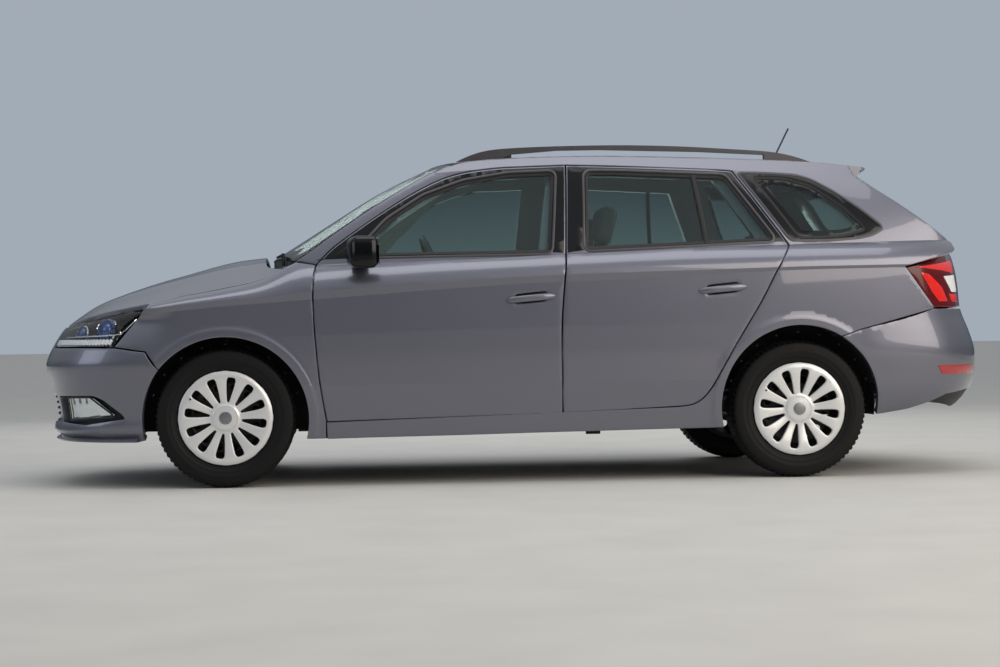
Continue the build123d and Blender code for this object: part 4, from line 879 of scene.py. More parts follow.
left_side = side_place(side_y)
frame_skin = skin(clean(SIDE_FRAME), left_side, [grown(QUARTER_WINDOW, 7)],
                  lines=crease_lines("side", 300, 3230),
                  step=16, soft_lines=lip_lines(REAR_ARCH)
                  + between_columns(SIDE_STATIONS, 7, 9, 300, 3230)
                  + between_columns(SIDE_STATIONS, 4, 5, 300, 3230))
both_sides("side_panel", frame_skin, PAINT, BODY)
for side, _ in SIDES:
    sunk_copy(f"side_frame_{side}", "body", 7.0)
wing_skin = skin(clean(WING), side_place(wing_y), lines=crease_lines("wing", -470, 420),
                 step=16, soft_lines=lip_lines(FRONT_ARCH)
                 + between_columns(WING_STATIONS, 3, 4, -470, 420), depth=18)
piece("front_wing_skins", mirrored_pair(wing_skin), PAINT, "body", replaces=["front_wings"])
SEAL_SECTION = [(-9, -9), (9, -9), (9, 0.4), (6, 1.2), (-5, -2), (-9, -4)]


def guide_section(rise):
    """Section of the satin strip round a window; rise is its height over the skin."""
    return [(-5, -3), (5, -3), (5, rise - 1), (3, rise), (-3, rise), (-5, rise - 1)]


def window_strip(loop, d, section):
    """A closed strip on the side that runs d outside an outline."""
    return side_strip(clean(dense(grown(loop, d), 16)), section, True)


def handle_bar(handle):
    """A door handle's bar: flat rings that stand off the skin between two pointed ends."""
    s, z, rise = handle
    rings = []
    for i in range(25):
        t = i / 24
        u, v = mix(s - 106, s + 106, t), z - 3 + mix(-rise, rise, t) * 0.7
        width = 13 * (1 - abs(2 * t - 1) ** 6) ** 0.5 + 0.6
        y = side_y(u, v) + 16 * (1 - abs(2 * t - 1) ** 4) - 1
        angles = [math.tau * k / 14 for k in range(14)]
        rings.append([Vector((at(u), (y + 5.5 * math.sin(a)) / 1000, (v + width * math.cos(a)) / 1000))
                      for a in angles])
    return loft(rings)


# the four doors: skin, inner frame, pane, seals, window frame and handle
for name, segments, window, handle, bodies in (
        ("front_door", FRONT_DOOR, FRONT_WINDOW, HANDLES[0], FRONT_DOORS),
        ("rear_door", REAR_DOOR, REAR_WINDOW, HANDLES[1], REAR_DOORS)):
    loop = clean(outline_of(segments))
    span = [p[0] for p in loop]
    door_skin = skin(loop, left_side, [grown(window, 7), recess(handle)],
                     lines=crease_lines("side", min(span) - 20, max(span) + 20), depth=10,
                     step=18)
    both_sides(f"{name}_skin", door_skin, PAINT, bodies)
    for (side, _), body in zip(SIDES, bodies):
        sunk_copy(f"{name}_{side}", body)
        cad_copy(f"{name}_glass_{side}", GLASS, body)
    # seal between skin and glass, with the satin guide outside it
    both_sides(f"{name}_seal", window_strip(window, 1, SEAL_SECTION), SEAL, bodies)
    both_sides(f"{name}_guide", window_strip(window, 14, guide_section(2.6)), GUIDE, bodies)
    front, rear = min(window), max((p for p in window if p[1] < 1100), key=lambda p: p[0])
    frame_trim = []
    for a, b in grown(loop, -4):
        belt = mix(front[1], rear[1], (a - front[0]) / (rear[0] - front[0])) - 19
        if b > belt - 60:
            frame_trim.append((a, max(b, belt)))
    side_piece(f"{name}_frame_trim", clean(frame_trim), 1.2, PIANO, bodies, [grown(window, 3)],
               edge=1.0, depth=3)
    both_sides(f"{name}_handle", handle_bar(handle), PAINT, bodies, angle=50)
    # painted shade: the hollow behind the handle is body colour, and its floor is made black plastic to
    # stand in for the shade inside it
    side_piece(f"{name}_handle_cup", recess(handle), -26, BLACK, bodies, step=20, depth=2)
    walls = skin(recess(handle), left_side, step=40, edge=1.5, depth=26)
    bmesh.ops.delete(walls, geom=[f for f in walls.faces if f.normal.y > 0.8], context="FACES")
    both_sides(f"{name}_handle_walls", walls, PAINT, bodies)


def card_place(lift):
    """The door's inner face, a plane parallel to the widest line of the side."""
    return lambda a, b: Vector((at(a), (HALF_WIDTH + row_at(SIDE_STATIONS, a)[1] - 100 - lift) / 1000,
                                b / 1000))


# door cards with their cloth inserts, armrests and levers
for name, corners, insert, rest, bodies in (
        ("front_door", [(470, 330), (1370, 345), (1372, 640), (1385, 905), (470, 885), (452, 640)],
         [(690, 690), (1290, 700), (1320, 860), (640, 850)], (780, 1330), FRONT_DOORS),
        ("rear_door", [(1500, 350), (1900, 365), (2030, 470), (2190, 720), (2265, 905), (1500, 905)],
         [(1560, 710), (2080, 710), (2150, 860), (1560, 860)], (1560, 2080), REAR_DOORS)):
    card = skin(rounded(corners, 40), card_place(6), outward=-1, edge=4, depth=5, step=60)
    both_sides(f"{name}_card", card, DASH, bodies)
    pad = skin(rounded(insert, 30), card_place(11), outward=-1, edge=6, depth=6, step=60)
    both_sides(f"{name}_card_insert", pad, BOLSTER, bodies)
    wall = card_place(6)(rest[0], 640).y
    arm = joined(block(at(rest[1]), at(rest[0]), wall - 0.058, wall, 0.612, 0.662, 0.016, 4),
                 block(at(rest[1] - 330), at(rest[0] + 40), wall - 0.030, wall, 0.375, 0.500, 0.012, 3))
    both_sides(f"{name}_armrest", arm, DASH, bodies, angle=50)
    lever = block(at(rest[0] + 150), at(rest[0] + 40), wall - 0.022, wall - 0.004, 0.735, 0.765, 0.006, 3)
    both_sides(f"{name}_inner_lever", lever, CHROME, bodies, angle=50)
# polished black covers of the pillar between the doors, then the rear window's rubber divider
for name, corners, bodies in (
        ("front", [(1405, 986), (1454, 984), (1475, 1362), (1438, 1352)], FRONT_DOORS),
        ("rear", [(1470, 984), (1543, 996), (1561, 1352), (1491, 1364)], REAR_DOORS)):
    side_piece(f"pillar_cover_{name}", rounded(corners, 6), 2.2, PIANO, bodies, depth=4)
divider = side_strip([(2078, 1018), (2068, 1120), (2056, 1220), (2044, 1326)],
                     [(-10, -8), (10, -8), (10, 0), (7, 1.5), (-7, 1.5), (-10, 0)])
both_sides("rear_window_divider", divider, SEAL, REAR_DOORS)
both_sides("quarter_seal", window_strip(QUARTER_WINDOW, 1, SEAL_SECTION), SEAL, BODY)
QUARTER_FRAME = rounded([(2449, 1026), (2643, 1027), (2760, 1036), (2828, 1050), (2872, 1076),
                         (2866, 1098), (2781, 1170), (2666, 1254), (2573, 1308), (2504, 1328),
                         (2380, 1336), (2240, 1339)], 24)
side_piece("quarter_frame_trim", clean(QUARTER_FRAME), 1.2, PIANO, BODY, [grown(QUARTER_WINDOW, 3)],
           edge=1.0, depth=3)
both_sides("quarter_guide", window_strip(QUARTER_FRAME, -2, guide_section(3.2)), GUIDE, BODY)
side_piece("quarter_frit", grown(QUARTER_WINDOW, -1), -6.6, PIANO, BODY, [grown(QUARTER_WINDOW, -30)],
           edge=0.3, depth=0.4)
cad_copy("quarter_windows", GLASS, "body")

# ---------------------------------------------------------------- bonnet, roof, windscreen
BONNET_FRONT = [(-727, 0), (-722, 220), (-700, 430), (-640, 545), (-560, 640), (-450, 700),
                (-335, 729)]
BONNET_REAR = [(262, 726), (215, 640), (172, 500), (162, 300), (160, 0)]


def top_place(height, lift=0.0):
    """Maps plan (s, y) onto a crowned panel."""
    return lambda s, y: Vector((at(s), y / 1000, (height(s, y) + lift) / 1000))


def symmetric(points):
    """A closed plan outline from its left half, front to rear."""
    return points + [(s, -y) for s, y in points[::-1] if abs(y) > 1]


bonnet_half = curve_through(BONNET_FRONT) + dense([(-335, 729), (262, 726)], 24, False) \
    + curve_through(BONNET_REAR)
bonnet_skin = skin(clean(symmetric(bonnet_half)), top_place(bonnet_z), outward=-1, edge=5, depth=10,
                   step=13)
piece("bonnet_skin", bonnet_skin, PAINT, "bonnet_lid")


def lowered(node, name, body, height, depth, rear=math.inf):
    """The CAD node under a fine skin: its top drawn down to a depth below it, ahead of rear."""
    bm = cad_bmesh(node)
    for v in bm.verts:
        s, y, z = FRONT_AXLE_X - v.co.x * 1000, v.co.y * 1000, v.co.z * 1000
        if s < rear and z > height(s, y) - depth:
            v.co.z = (height(s, y) - depth) / 1000
    piece(name, bm, PAINT, body, replaces=[node])


def roof_z(s, y):
    """z of the roof."""
    return crown(ROOF_STATIONS, s, y)


lowered("bonnet", "bonnet_frame", "bonnet_lid", bonnet_z, 7, 240)
header = [(902, 0), (912, 180), (955, 400), (988, 575)]
roof_half = curve_through([(s + 6, y) for s, y in header]) \
    + [(s, row_at(ROOF_STATIONS, s)[3] - 3) for s in range(1040, 2680, 40)] + [(2691, 576), (2691, 0)]
roof_skin = skin(clean(symmetric(roof_half)), top_place(roof_z, 0.6), outward=-1, edge=3, depth=8,
                 step=20)
piece("roof_skin", roof_skin, PAINT, "body")
lowered("roof", "roof_shell", "body", roof_z, 5)
lining_half = ([(1010, 0), (1030, 540)] + [(s, 552) for s in range(1100, 2600, 100)]
               + [(2680, 540), (2680, 0)])
piece("headlining", skin(clean(symmetric(lining_half)), top_place(roof_z, -33), edge=3, depth=2, step=60),
      LINING, "body")
cad_copy("windscreen", GLASS, "body", 60)
cad_copy("cowl_panel", BLACK, "body")

# ---------------------------------------------------------------- nose
def end_place(end, lift=0.0):
    """Maps (w, z) onto the skin of the nose or tail."""
    def on_skin(w, z):
        """The skin's point in millimetres, with x ahead of the front axle."""
        s, y = end_point(end, w, z)
        return Vector((-s, y, z))

    def place(w, z):
        """The point in metres, moved outward by the lift."""
        here = on_skin(w, z)
        n = (on_skin(w + 4, z) - on_skin(w - 4, z)).cross(on_skin(w, z + 4) - here).normalized()
        p = here - n * lift * end[1]
        return Vector((at(-p.x), p.y / 1000, p.z / 1000))
    return place


def end_skin(end, outline, lift=0.0, holes=(), **settings):
    """A panel over a (w, z) outline on the nose or tail."""
    return skin(outline, end_place(end, lift), holes, outward=-end[1], **settings)


def on_end(end, points):
    """(w, z) of points of an end given as ("s" or "y", value, z)."""
    return [(end_w(end, z, **{kind: value}), z) for kind, value, z in points]


def across(end, points):
    """(w, z) of points of an end given as (y, z)."""
    return [(end_w(end, z, y=y) if abs(y) > 1 else 0.0, z) for y, z in points]


def mirror_w(points):
    """A closed outline across the car from its left half, bottom middle to top middle."""
    return points + [(-w, z) for w, z in points[::-1] if abs(w) > 1]


arch_front = [("s", s, z) for s, z in arc(*FRONT_ARCH, 194, 142, 30)]
bumper_half = ([(0.0, 207)] + on_end(NOSE, arch_front + [
    ("s", -334, 579), ("s", -462, 598), ("s", -560, 601), ("y", 500, 603), ("y", 428, 604),
    ("y", 424, 690)]) + [(0.0, 699)])
fog_hole = rounded(on_end(NOSE, [
    ("y", 496, 394), ("s", -566, 397), ("s", -520, 380), ("s", -438, 318), ("s", -424, 298),
    ("s", -600, 272), ("y", 496, 283)]), 16)
lower_grille = rounded(across(NOSE, [(-420, 275), (420, 275), (470, 335), (455, 395), (-455, 395),
                                     (-470, 335)]), 24)
upper_grille = rounded(across(NOSE, [(-330, 590), (330, 590), (395, 615), (380, 690), (-380, 690),
                                     (-395, 615)]), 18)
bumper_skin = end_skin(
    NOSE, clean(dense(mirror_w(bumper_half), 18)),
    holes=[lower_grille, upper_grille, fog_hole, [(-w, z) for w, z in fog_hole]],
    lines=[[(w, 434) for w in range(-1200, 1201, 60)]], depth=24, step=16)
piece("front_bumper_skin", bumper_skin, PAINT, "body", replaces=["front_bumper"])
slat = [(-0.012, -0.002), (0.010, -0.003), (0.012, 0.0), (0.010, 0.003), (-0.012, 0.002)]
for name, hole, count in (("lower", lower_grille, 5), ("upper", upper_grille, 4)):
    bars = [end_skin(NOSE, grown(hole, 6), -34, step=60, depth=2)]
    top, bottom = max(z for _, z in hole), min(z for _, z in hole)
    for i in range(count):
        z = mix(bottom, top, (i + 0.5) / count)
        ws = [w for w, v in hole if abs(v - z) < 30]
        path = [end_place(NOSE, -16)(mix(min(ws) + 4, max(ws) - 4, k / 40), z) for k in range(41)]
        bars.append(sweep(path, UP, slat))
    for k in range(15):
        w = mix(min(w for w, _ in hole), max(w for w, _ in hole), (k + 0.5) / 15)
        path = [end_place(NOSE, -20)(w, mix(bottom + 4, top - 4, i / 6)) for i in range(7)]
        bars.append(sweep(path, AHEAD, circle(0.0025, 6)))
    piece(f"{name}_grille", joined(*bars), BLACK, "body",
          replaces=["front_grilles"] if name == "lower" else ())
plinth = rounded(across(NOSE, [(-272, 462), (272, 462), (272, 588), (-272, 588)]), 10)
piece("front_plate_plinth", end_skin(NOSE, plinth, 0.3, step=40, edge=1, depth=4), BLACK, "body")
plate = rounded(across(NOSE, [(-260, 470), (260, 470), (260, 580), (-260, 580)]), 8)
piece("front_plate", end_skin(NOSE, plate, 0.9, edge=0.4, depth=0.5, step=40), PLATE, "body")

# splitter blade under the front bumper
path = [end_place(NOSE, 10)(mix(-1120, 1120, k / 80), 214) for k in range(81)]
splitter = sweep(path, UP, [(-0.050, -0.006), (0.016, -0.008), (0.024, -0.002), (0.018, 0.004),
                            (-0.010, 0.014), (-0.050, 0.022)])
piece("front_splitter", splitter, PAINT, "body", 40)


def lamp_piece(name, bm, material, replaces=()):
    """A left lamp part of the body with its mirror image."""
    piece(name, mirrored_pair(bm), material, "body", replaces=replaces)


# fog lamp niches with their lamps
lamp_piece("fog_niches", end_skin(NOSE, grown(fog_hole, 4), -38, step=50, depth=2), BLACK)
lens = rounded(on_end(NOSE, [("s", -700, 384), ("s", -584, 386), ("s", -490, 318), ("s", -484, 308),
                             ("s", -690, 292)]), 10)
lamp_piece("fog_lamp_lenses", end_skin(NOSE, lens, -10, step=30, edge=2, depth=3), LENS)
lamp_piece("fog_lamp_bowls", end_skin(NOSE, grown(lens, -3), -26, step=30, edge=2, depth=3), CHROME)
bezel = [end_place(NOSE, -8)(w, z) for w, z in dense(grown(lens, 3), 16)]
lamp_piece("fog_lamp_bezels", sweep(bezel, Vector((1, 0.6, 0)), circle(0.004, 8), True), BLACK)

# ---------------------------------------------------------------- headlamps
head = rounded(on_end(NOSE, [
    ("y", 434, 612), ("s", -640, 610), ("s", -463, 609), ("s", -338, 754), ("s", -420, 759),
    ("s", -540, 743), ("s", -610, 717), ("y", 434, 690)]), 9)
lamp_piece("headlamp_lenses", end_skin(NOSE, head, -0.5, edge=2, depth=4, step=22), LENS)
walls = end_skin(NOSE, head, -5, edge=1, depth=58, step=40)
faces = [f for f in walls.faces if len(f.verts) == 3]
bmesh.ops.delete(walls, geom=faces, context="FACES")
lamp_piece("headlamp_walls", walls, PIANO)
lamp_piece("headlamp_backs", end_skin(NOSE, grown(head, -1), -62, edge=1, depth=2, step=30), BLACK,
           ["headlamps"])


def on_nose(s, z, lift):
    """The point of the nose's left side at the station s."""
    return end_place(NOSE, lift)(end_w(NOSE, z, s=s), z)


def lamp_unit(centre, radius):
    """A projector's dome and the ring round it."""
    axis = (1.0, 0.75, 0.05)
    dome = [(radius * math.sin(math.radians(a)), radius * 0.75 * math.cos(math.radians(a)))
            for a in range(0, 91, 10)]
    glass = revolved([(0.0, 0.0)] + dome[:0:-1] + [(0.0, radius * 0.75)], centre, axis, 40)
    ring = revolved([(radius * 1.02, 0.0), (radius * 1.12, 0.006), (radius * 1.3, 0.004),
                     (radius * 1.3, -0.012), (radius * 1.02, -0.012)], centre, axis)
    return glass, ring


domes, rings = zip(*[lamp_unit(on_nose(s, z, -46), radius)
                     for s, z, radius in ((-520, 686, 0.050), (-632, 672, 0.036))])
lamp_piece("projector_lenses", joined(*domes), BLUE)
lamp_piece("projector_rings", joined(*rings), CHROME)
ribs = []
rib_start, rib_end = end_w(NOSE, 630, y=450), end_w(NOSE, 630, s=-478)
for k in range(26):
    w = mix(rib_start, rib_end, (k + 0.5) / 26)
    path = [end_place(NOSE, -14)(w, 617 + 3.2 * i) for i in range(8)]
    ribs.append(sweep(path, Vector((1, 0.8, 0)), circle(0.0085, 8)))
lamp_piece("light_guide_ribs", joined(*ribs), WHITE)
brow = [on_nose(s, z, -16) for s, z in curve_through([(-700, 652), (-600, 655), (-500, 658),
                                                      (-440, 668), (-370, 742)], 12)]
lamp_piece("light_guide_edges", sweep(brow, UP, circle(0.004, 8)), CHROME)

# ---------------------------------------------------------------- tail
arch_rear = [("s", s, z) for s, z in arc(*REAR_ARCH, -8, 58, 30)]
rear_half = [(0.0, 372)] + on_end(TAIL, [
    ("y", 560, 368), ("s", 3150, 348), ("s", 3060, 314), ("s", 2950, 285), *arch_rear,
    ("s", 2737, 637), ("s", 3080, 724.5), ("y", 600, 726)]) + [(0.0, 727)]
rear_skin = end_skin(TAIL, clean(dense(mirror_w(rear_half), 18)), depth=24, step=16,
                     soft_lines=[[(w, 500) for w in range(-1500, 1501, 60)]])
piece("rear_bumper_skin", rear_skin, PAINT, "body", replaces=["rear_bumper"])
diffuser = mirror_w([(0.0, 276)] + on_end(TAIL, [
    ("y", 560, 280), ("s", 3130, 300), ("s", 3060, 324), ("s", 3140, 362), ("y", 560, 382)])
    + [(0.0, 386)])
piece("rear_diffuser", end_skin(TAIL, clean(diffuser), -8.0, depth=30, step=30), BLACK, "body")
# trim over the wheel houses in the load bay
house_centre = Vector((at(WHEELBASE), 0.685, REAR_ARCH[1] / 1000))
house = [Vector((at(s), house_centre.y, z / 1000)) for s, z in arc(*REAR_ARCH[:2], 358, 14, 166, 40)]
house_trim = sweep(house, [(p - house_centre).normalized() for p in house],
                   [(-0.115, -0.002), (0.115, -0.002), (0.115, 0.002), (-0.115, 0.002)])
piece("wheel_house_trims", mirrored_pair(house_trim), CARPET, "body")
reflector = rounded(on_end(TAIL, [("s", 3092, 476), ("s", 3118, 436), ("y", 560, 436),
                                  ("y", 560, 478)]), 5)
lamp_piece("rear_reflectors", end_skin(TAIL, reflector, 2.0, depth=5, step=24), RED)
lamp = rounded(on_end(TAIL, [("y", 599, 732), ("s", 3086, 732), ("s", 2949, 905), ("s", 3190, 972),
                             ("y", 599, 976)]), 9)
lamp_piece("tail_lamp_lenses", end_skin(TAIL, lamp, 2.5, edge=4, depth=20, step=20), SMOKE,
           ["tail_lamps"])
for name, points, material in (
        ("reversing_lenses", [(3228, 876), (3150, 868), (3172, 838), (3200, 798), (3240, 800)], WHITE),
        ("upper_light_bars", [(2998, 906), (3085, 898), (3222, 884), (3225, 930), (3215, 940)], LIT),
        ("lower_light_bars", [(3022, 884), (3066, 876), (3135, 820), (3170, 758), (3118, 756),
                              (3078, 800)], LIT),
        ("inner_light_bars", [(3182, 790), (3240, 790), (3248, 756), (3200, 756)], LIT)):
    face = rounded(on_end(TAIL, [("s", s, z) for s, z in points]), 8)
    lamp_piece(name, end_skin(TAIL, face, 4.4, edge=1.2, depth=3, step=20), material)
GATE_HALF = [(585, 737), (585, 990), (568, 1100), (556, 1300), (552, 1322)]
GLASS_HALF = [(0, 1010), (515, 1010), (505, 1150), (478, 1300), (0, 1318)]


def gate_outline(half):
    """A closed (w, z) outline on the tail from (y, z) points of its left half."""
    return across(TAIL, half + [(-y, z) for y, z in reversed(half) if y > 1])


gate_loop = gate_outline([(0, 737)] + GATE_HALF + [(0, 1330)])
window_loop = rounded(gate_outline(GLASS_HALF), 24)
gate_skin = end_skin(TAIL, clean(gate_loop), holes=[grown(window_loop, 3)], depth=44, step=18,
                     lines=[[(w, 990) for w in range(-700, 701, 50)]])
piece("tailgate_skin", gate_skin, PAINT, "tailgate_lid", replaces=["tailgate"])
inner_face = skin(clean(grown(gate_loop, -4)), end_place(TAIL, -44), [grown(window_loop, 3)],
                  depth=1, edge=1, step=36)
piece("tailgate_lining", inner_face, BLACK, "tailgate_lid")
border = end_skin(TAIL, clean(grown(window_loop, 6)), -5, [grown(window_loop, -34)], edge=0.5, depth=2,
                  step=40)
piece("tailgate_glass_border", border, PIANO, "tailgate_lid")


def spoiler():
    """Roof spoiler over the rear glass: rings across the car from the gate's end to its other end."""
    half_width = 548
    rings = []
    for k in range(61):
        y = mix(-half_width, half_width, k / 60)
        t = abs(y) / half_width
        tip = 2932 - 104 * t ** 2.4
        top = [(mix(2708, tip - 6, f / 6), crown(ROOF_STATIONS, mix(2708, tip - 6, f / 6), y) - 1.2
                - 3.0 * (f / 6) ** 3) for f in range(7)]
        edge_z = top[-1][1]
        under = [(tip, edge_z - 6), (tip - 5, edge_z - 13), (2864 - 46 * t * t, 1340),
                 (2850 - 46 * t * t, 1322), (2780, 1322), (2715, edge_z - 34)]
        rings.append([Vector((at(s), y / 1000, z / 1000)) for s, z in top + under])
    return loft(rings)


piece("tailgate_spoiler", spoiler(), PAINT, "tailgate_lid", 40)
cad_copy("tailgate_glass", GLASS, "tailgate_lid", 40)
for name, corners, edge, step, material in (
        ("rear_plate", [(-260, 770), (260, 770), (260, 880), (-260, 880)], 1, 60, PLATE),
        ("tailgate_grip", [(-310, 905), (310, 905), (300, 935), (-300, 935)], 3, 40, PIANO)):
    patch = end_skin(TAIL, across(TAIL, rounded(corners, 6)), 5, edge=edge, depth=5, step=step)
    piece(name, patch, material, "tailgate_lid")
high_lamp = block(at(2921), at(2908), -0.16, 0.16, 1.366, 1.376, 0.003)
piece("high_brake_lamp", high_lamp, RED, "tailgate_lid")
arm = [end_place(TAIL, 14)(across(TAIL, [(y, 1030)])[0][0], z)
       for y, z in ((0.5, 1012), (-120, 1022), (-240, 1030), (-330, 1036))]
blade = [(-0.009, -0.003), (0.009, -0.003), (0.006, 0.006), (-0.006, 0.006)]
pivot_cap = revolved([(0.0, 0.02), (0.022, 0.016), (0.026, -0.012), (0.0, -0.012)],
                     end_place(TAIL, 4)(0, 1008), (-1, 0, 0.3), 24)
piece("rear_wiper", joined(sweep(arm, Vector((-1, 0, 0.5)), blade), pivot_cap), BLACK, "tailgate_lid")

# ---------------------------------------------------------------- wheels
# half the section of a tyre: radius and distance from the middle plane
TYRE_PROFILE = [
    (188, 70), (201, 76), (206, 81), (214, 82), (226, 87.5), (229, 89.4), (231, 88.2), (246, 90.6),
    (249, 91.4), (252, 90.8), (266, 90.2), (276, 88.2), (284, 84.6), (289.5, 79), (293.2, 72),
    (295.4, 62), (296.2, 52), (289, 50.5), (289, 45.5), (296.6, 44), (297, 24), (289, 22.5),
    (289, 17.5), (297, 16), (297, 4), (290, 3), (290, -3),
]


def tyre(centre, side):
    """Tyre with tread blocks, as one closed mesh."""
    section = TYRE_PROFILE + [(r, -d) for r, d in TYRE_PROFILE[-3::-1]]
    count = 216
    rings = []
    for i in range(count):
        a = math.tau * i / count
        ring = []
        for r, d in section:
            x = abs(d)
            # every third slice is a groove: deep on the shoulders, staggered on the middle ribs
            if r > 284 and x > 45 and i % 3 == 0:
                r -= 6 if x < 80 else 2.5
            elif r > 294 and x <= 45 and (i + (0 if d > 0 else 1)) % 3 == 0:
                r -= 4
            ring.append(centre + Vector((r / 1000 * math.cos(a), side * d / 1000,
                                         r / 1000 * math.sin(a))))
        rings.append(ring)
    return loft(rings, True)


def cover_place(centre, side):
    """Dished face of the wheel cover: (x, z) to a point."""
    def place(u, v):
        """The point of the face at u ahead and v up."""
        r = math.hypot(u, v)
        if r < 49:
            d = 89 - 3 * (r / 49) ** 2
        elif r < 52:
            d = 84
        elif r < 62:
            d = mix(86, 80, smooth((r - 52) / 10))
        else:
            d = 80 + 12 * smooth((r - 60) / 110) - 9 * smooth((r - 186) / 20)
        return Vector((centre.x + u / 1000, centre.y + side * d / 1000, centre.z + v / 1000))
    return place


def cover_holes():
    """Twelve windows between the spokes of the wheel cover."""
    shape = [(68, 4), (88, 8), (112, 12.5), (138, 16.5), (160, 19), (172, 15), (174, 0)]
    loop = rounded(shape + [(r, -h) for r, h in shape[-2::-1]], 5, 3)
    turns = [math.radians(30 * k + 9) for k in range(12)]
    return [[(r * math.cos(a) - h * math.sin(a), r * math.sin(a) + h * math.cos(a)) for r, h in loop]
            for a in turns]


for axle, s, track in (("front", 0.0, TRACK_FRONT), ("rear", WHEELBASE, TRACK_REAR)):
    for side, sign in SIDES:
        name = f"{axle}_{side}"
        body = f"{axle}_{side}_wheel"
        centre = Vector((at(s), sign * track / 2000, TYRE_RADIUS / 1000))
        piece(f"{name}_tyre_tread", tyre(centre, sign), RUBBER, body, 32, [f"{name}_tyre"])
        creases = [arc(0, 0, r, 0, 360, 60) for r in (28, 48.5, 49.5, 51.5, 52.5, 57, 62, 186, 197)]
        cover = skin(circle(203.5, 72), cover_place(centre, sign), cover_holes(), step=14, edge=4.5,
                     depth=9, edge_step=7, outward=-sign, soft_lines=creases)
        piece(f"{name}_trim_cover", cover, SILVER, body, 35, [f"{name}_wheel_cover"])
        cap = revolved([(0.0, 0.0915), (0.021, 0.0912), (0.0265, 0.0900), (0.028, 0.084), (0.0, 0.084)],
                       centre, (0, sign, 0))
        piece(f"{name}_cap", cap, ZINC, body)
        cad_copy(f"{name}_rim", ENAMEL, body)
        cad_copy(f"{name}_brake", IRON, body)
        valve = sweep([centre + Vector((0.150, sign * 0.078, 0.085)),
                       centre + Vector((0.146, sign * 0.098, 0.082))], UP, circle(0.004))
        piece(f"{name}_valve", valve, SEAL, body)

# ---------------------------------------------------------------- outside trim
# carpet covers the floor pan's upper side above this height in metres, from dashboard to tail
CARPET_Z = 0.215
floor_bm = cad_bmesh("floor_pan")
floor_bm.normal_update()
for face in floor_bm.faces:
    middle = face.calc_center_median()
    if at(3150) < middle.x < at(470) and middle.z > CARPET_Z and face.normal.z > -0.3:
        face.material_index = 1
piece("floor_pan_shape", floor_bm, [ENAMEL, CARPET], "body", replaces=["floor_pan"])
for node, material in (("wheel_arch_liners", BLACK), ("front_rails", ENAMEL),
                       ("engine", ALLOY), ("front_subframe", ENAMEL), ("drive_shafts", ZINC),
                       ("rear_axle", ENAMEL), ("exhaust", ZINC), ("fuel_tank", BLACK),
                       ("aerial", BLACK), ("front_wipers", BLACK), ("roof_rails", GUIDE),
                       ("dashboard", DASH)):
    cad_copy(node, material, "body")
for side, _ in SIDES:
    cad_copy(f"steering_knuckle_{side}", IRON, f"{side}_knuckle")


def mirror_shell():
    """Rounded housing of the left door mirror."""
    y_in, y_out = 0.862, 0.974
    bm = block(at(655), at(528), y_in, y_out, 0.919, 1.060, 0.034, 6)
    for v in bm.verts:
        t = (v.co.y - y_in) / (y_out - y_in)
        v.co.z += 0.010 * (1 - t) * (1 if v.co.z < 0.98 else -0.4)
        v.co.x += 0.018 * (1 - t) ** 2 * (1 if v.co.x > at(590) else 0)
        if v.co.x > at(560):
            v.co.x -= 0.014 * t * t
    return bm


housing = mirror_shell()
foot = block(at(612), at(540), 0.780, 0.875, 0.936, 0.972, 0.012, 3)
both_sides("mirror_housing", joined(housing, foot), PIANO, FRONT_DOORS, "door_mirror")
both_sides("mirror_face", block(at(657.5), at(654.5), 0.874, 0.964, 0.935, 1.022, 0.001, 1), MIRROR,
           FRONT_DOORS)
base = rounded([(470, 985), (556, 985), (640, 1080), (560, 1052)], 8)
side_piece("mirror_base", base, 2.0, PIANO, FRONT_DOORS, depth=5)

# ---------------------------------------------------------------- repeated small things
SEED = 7


def repeat_tree(material):
    """Node tree that puts ellipsoids along a path: sizes are across, up and along it."""
    tree = bpy.data.node_groups.new(f"repeat_{material.name}", "GeometryNodeTree")
    tree.interface.new_socket("Path", in_out="INPUT", socket_type="NodeSocketGeometry")
    inputs = {name: tree.interface.new_socket(name, in_out="INPUT", socket_type=kind) for name, kind in (
        ("Count", "NodeSocketInt"), ("Size", "NodeSocketVector"), ("Spread", "NodeSocketFloat"),
        ("Seed", "NodeSocketInt"))}
    tree.interface.new_socket("Geometry", in_out="OUTPUT", socket_type="NodeSocketGeometry")
    given = tree.nodes.new("NodeGroupInput").outputs
    curve = add(tree, "GeometryNodeMeshToCurve", {"Mesh": given["Path"]})
    upright = add(tree, "GeometryNodeSetCurveNormal", {"Curve": curve.outputs["Curve"]}, mode="Z_UP")
    points = add(tree, "GeometryNodeCurveToPoints", {"Curve": upright.outputs["Curve"],
                                                     "Count": given["Count"]})
    ball = add(tree, "GeometryNodeMeshUVSphere", {"Segments": 10, "Rings": 6, "Radius": 1.0})
    low = add(tree, "ShaderNodeMath", {0: 1.0, 1: given["Spread"]}, operation="SUBTRACT")
    change = add(tree, "FunctionNodeRandomValue", {2: low.outputs[0], 3: 1.0, "Seed": given["Seed"]})
    size = add(tree, "ShaderNodeVectorMath", {0: given["Size"], "Scale": change.outputs[1]},
               operation="SCALE")
    placed = add(tree, "GeometryNodeInstanceOnPoints", {
        "Points": points.outputs["Points"], "Instance": ball.outputs["Mesh"],
        "Rotation": points.outputs["Rotation"], "Scale": size.outputs["Vector"]})
    real = add(tree, "GeometryNodeRealizeInstances", {"Geometry": placed.outputs["Instances"]})
    done = add(tree, "GeometryNodeSetMaterial", {"Geometry": real.outputs["Geometry"], "Material": material})
    result = tree.nodes.new("NodeGroupOutput")
    tree.links.new(done.outputs["Geometry"], result.inputs["Geometry"])
    return tree, {name: socket.identifier for name, socket in inputs.items()}


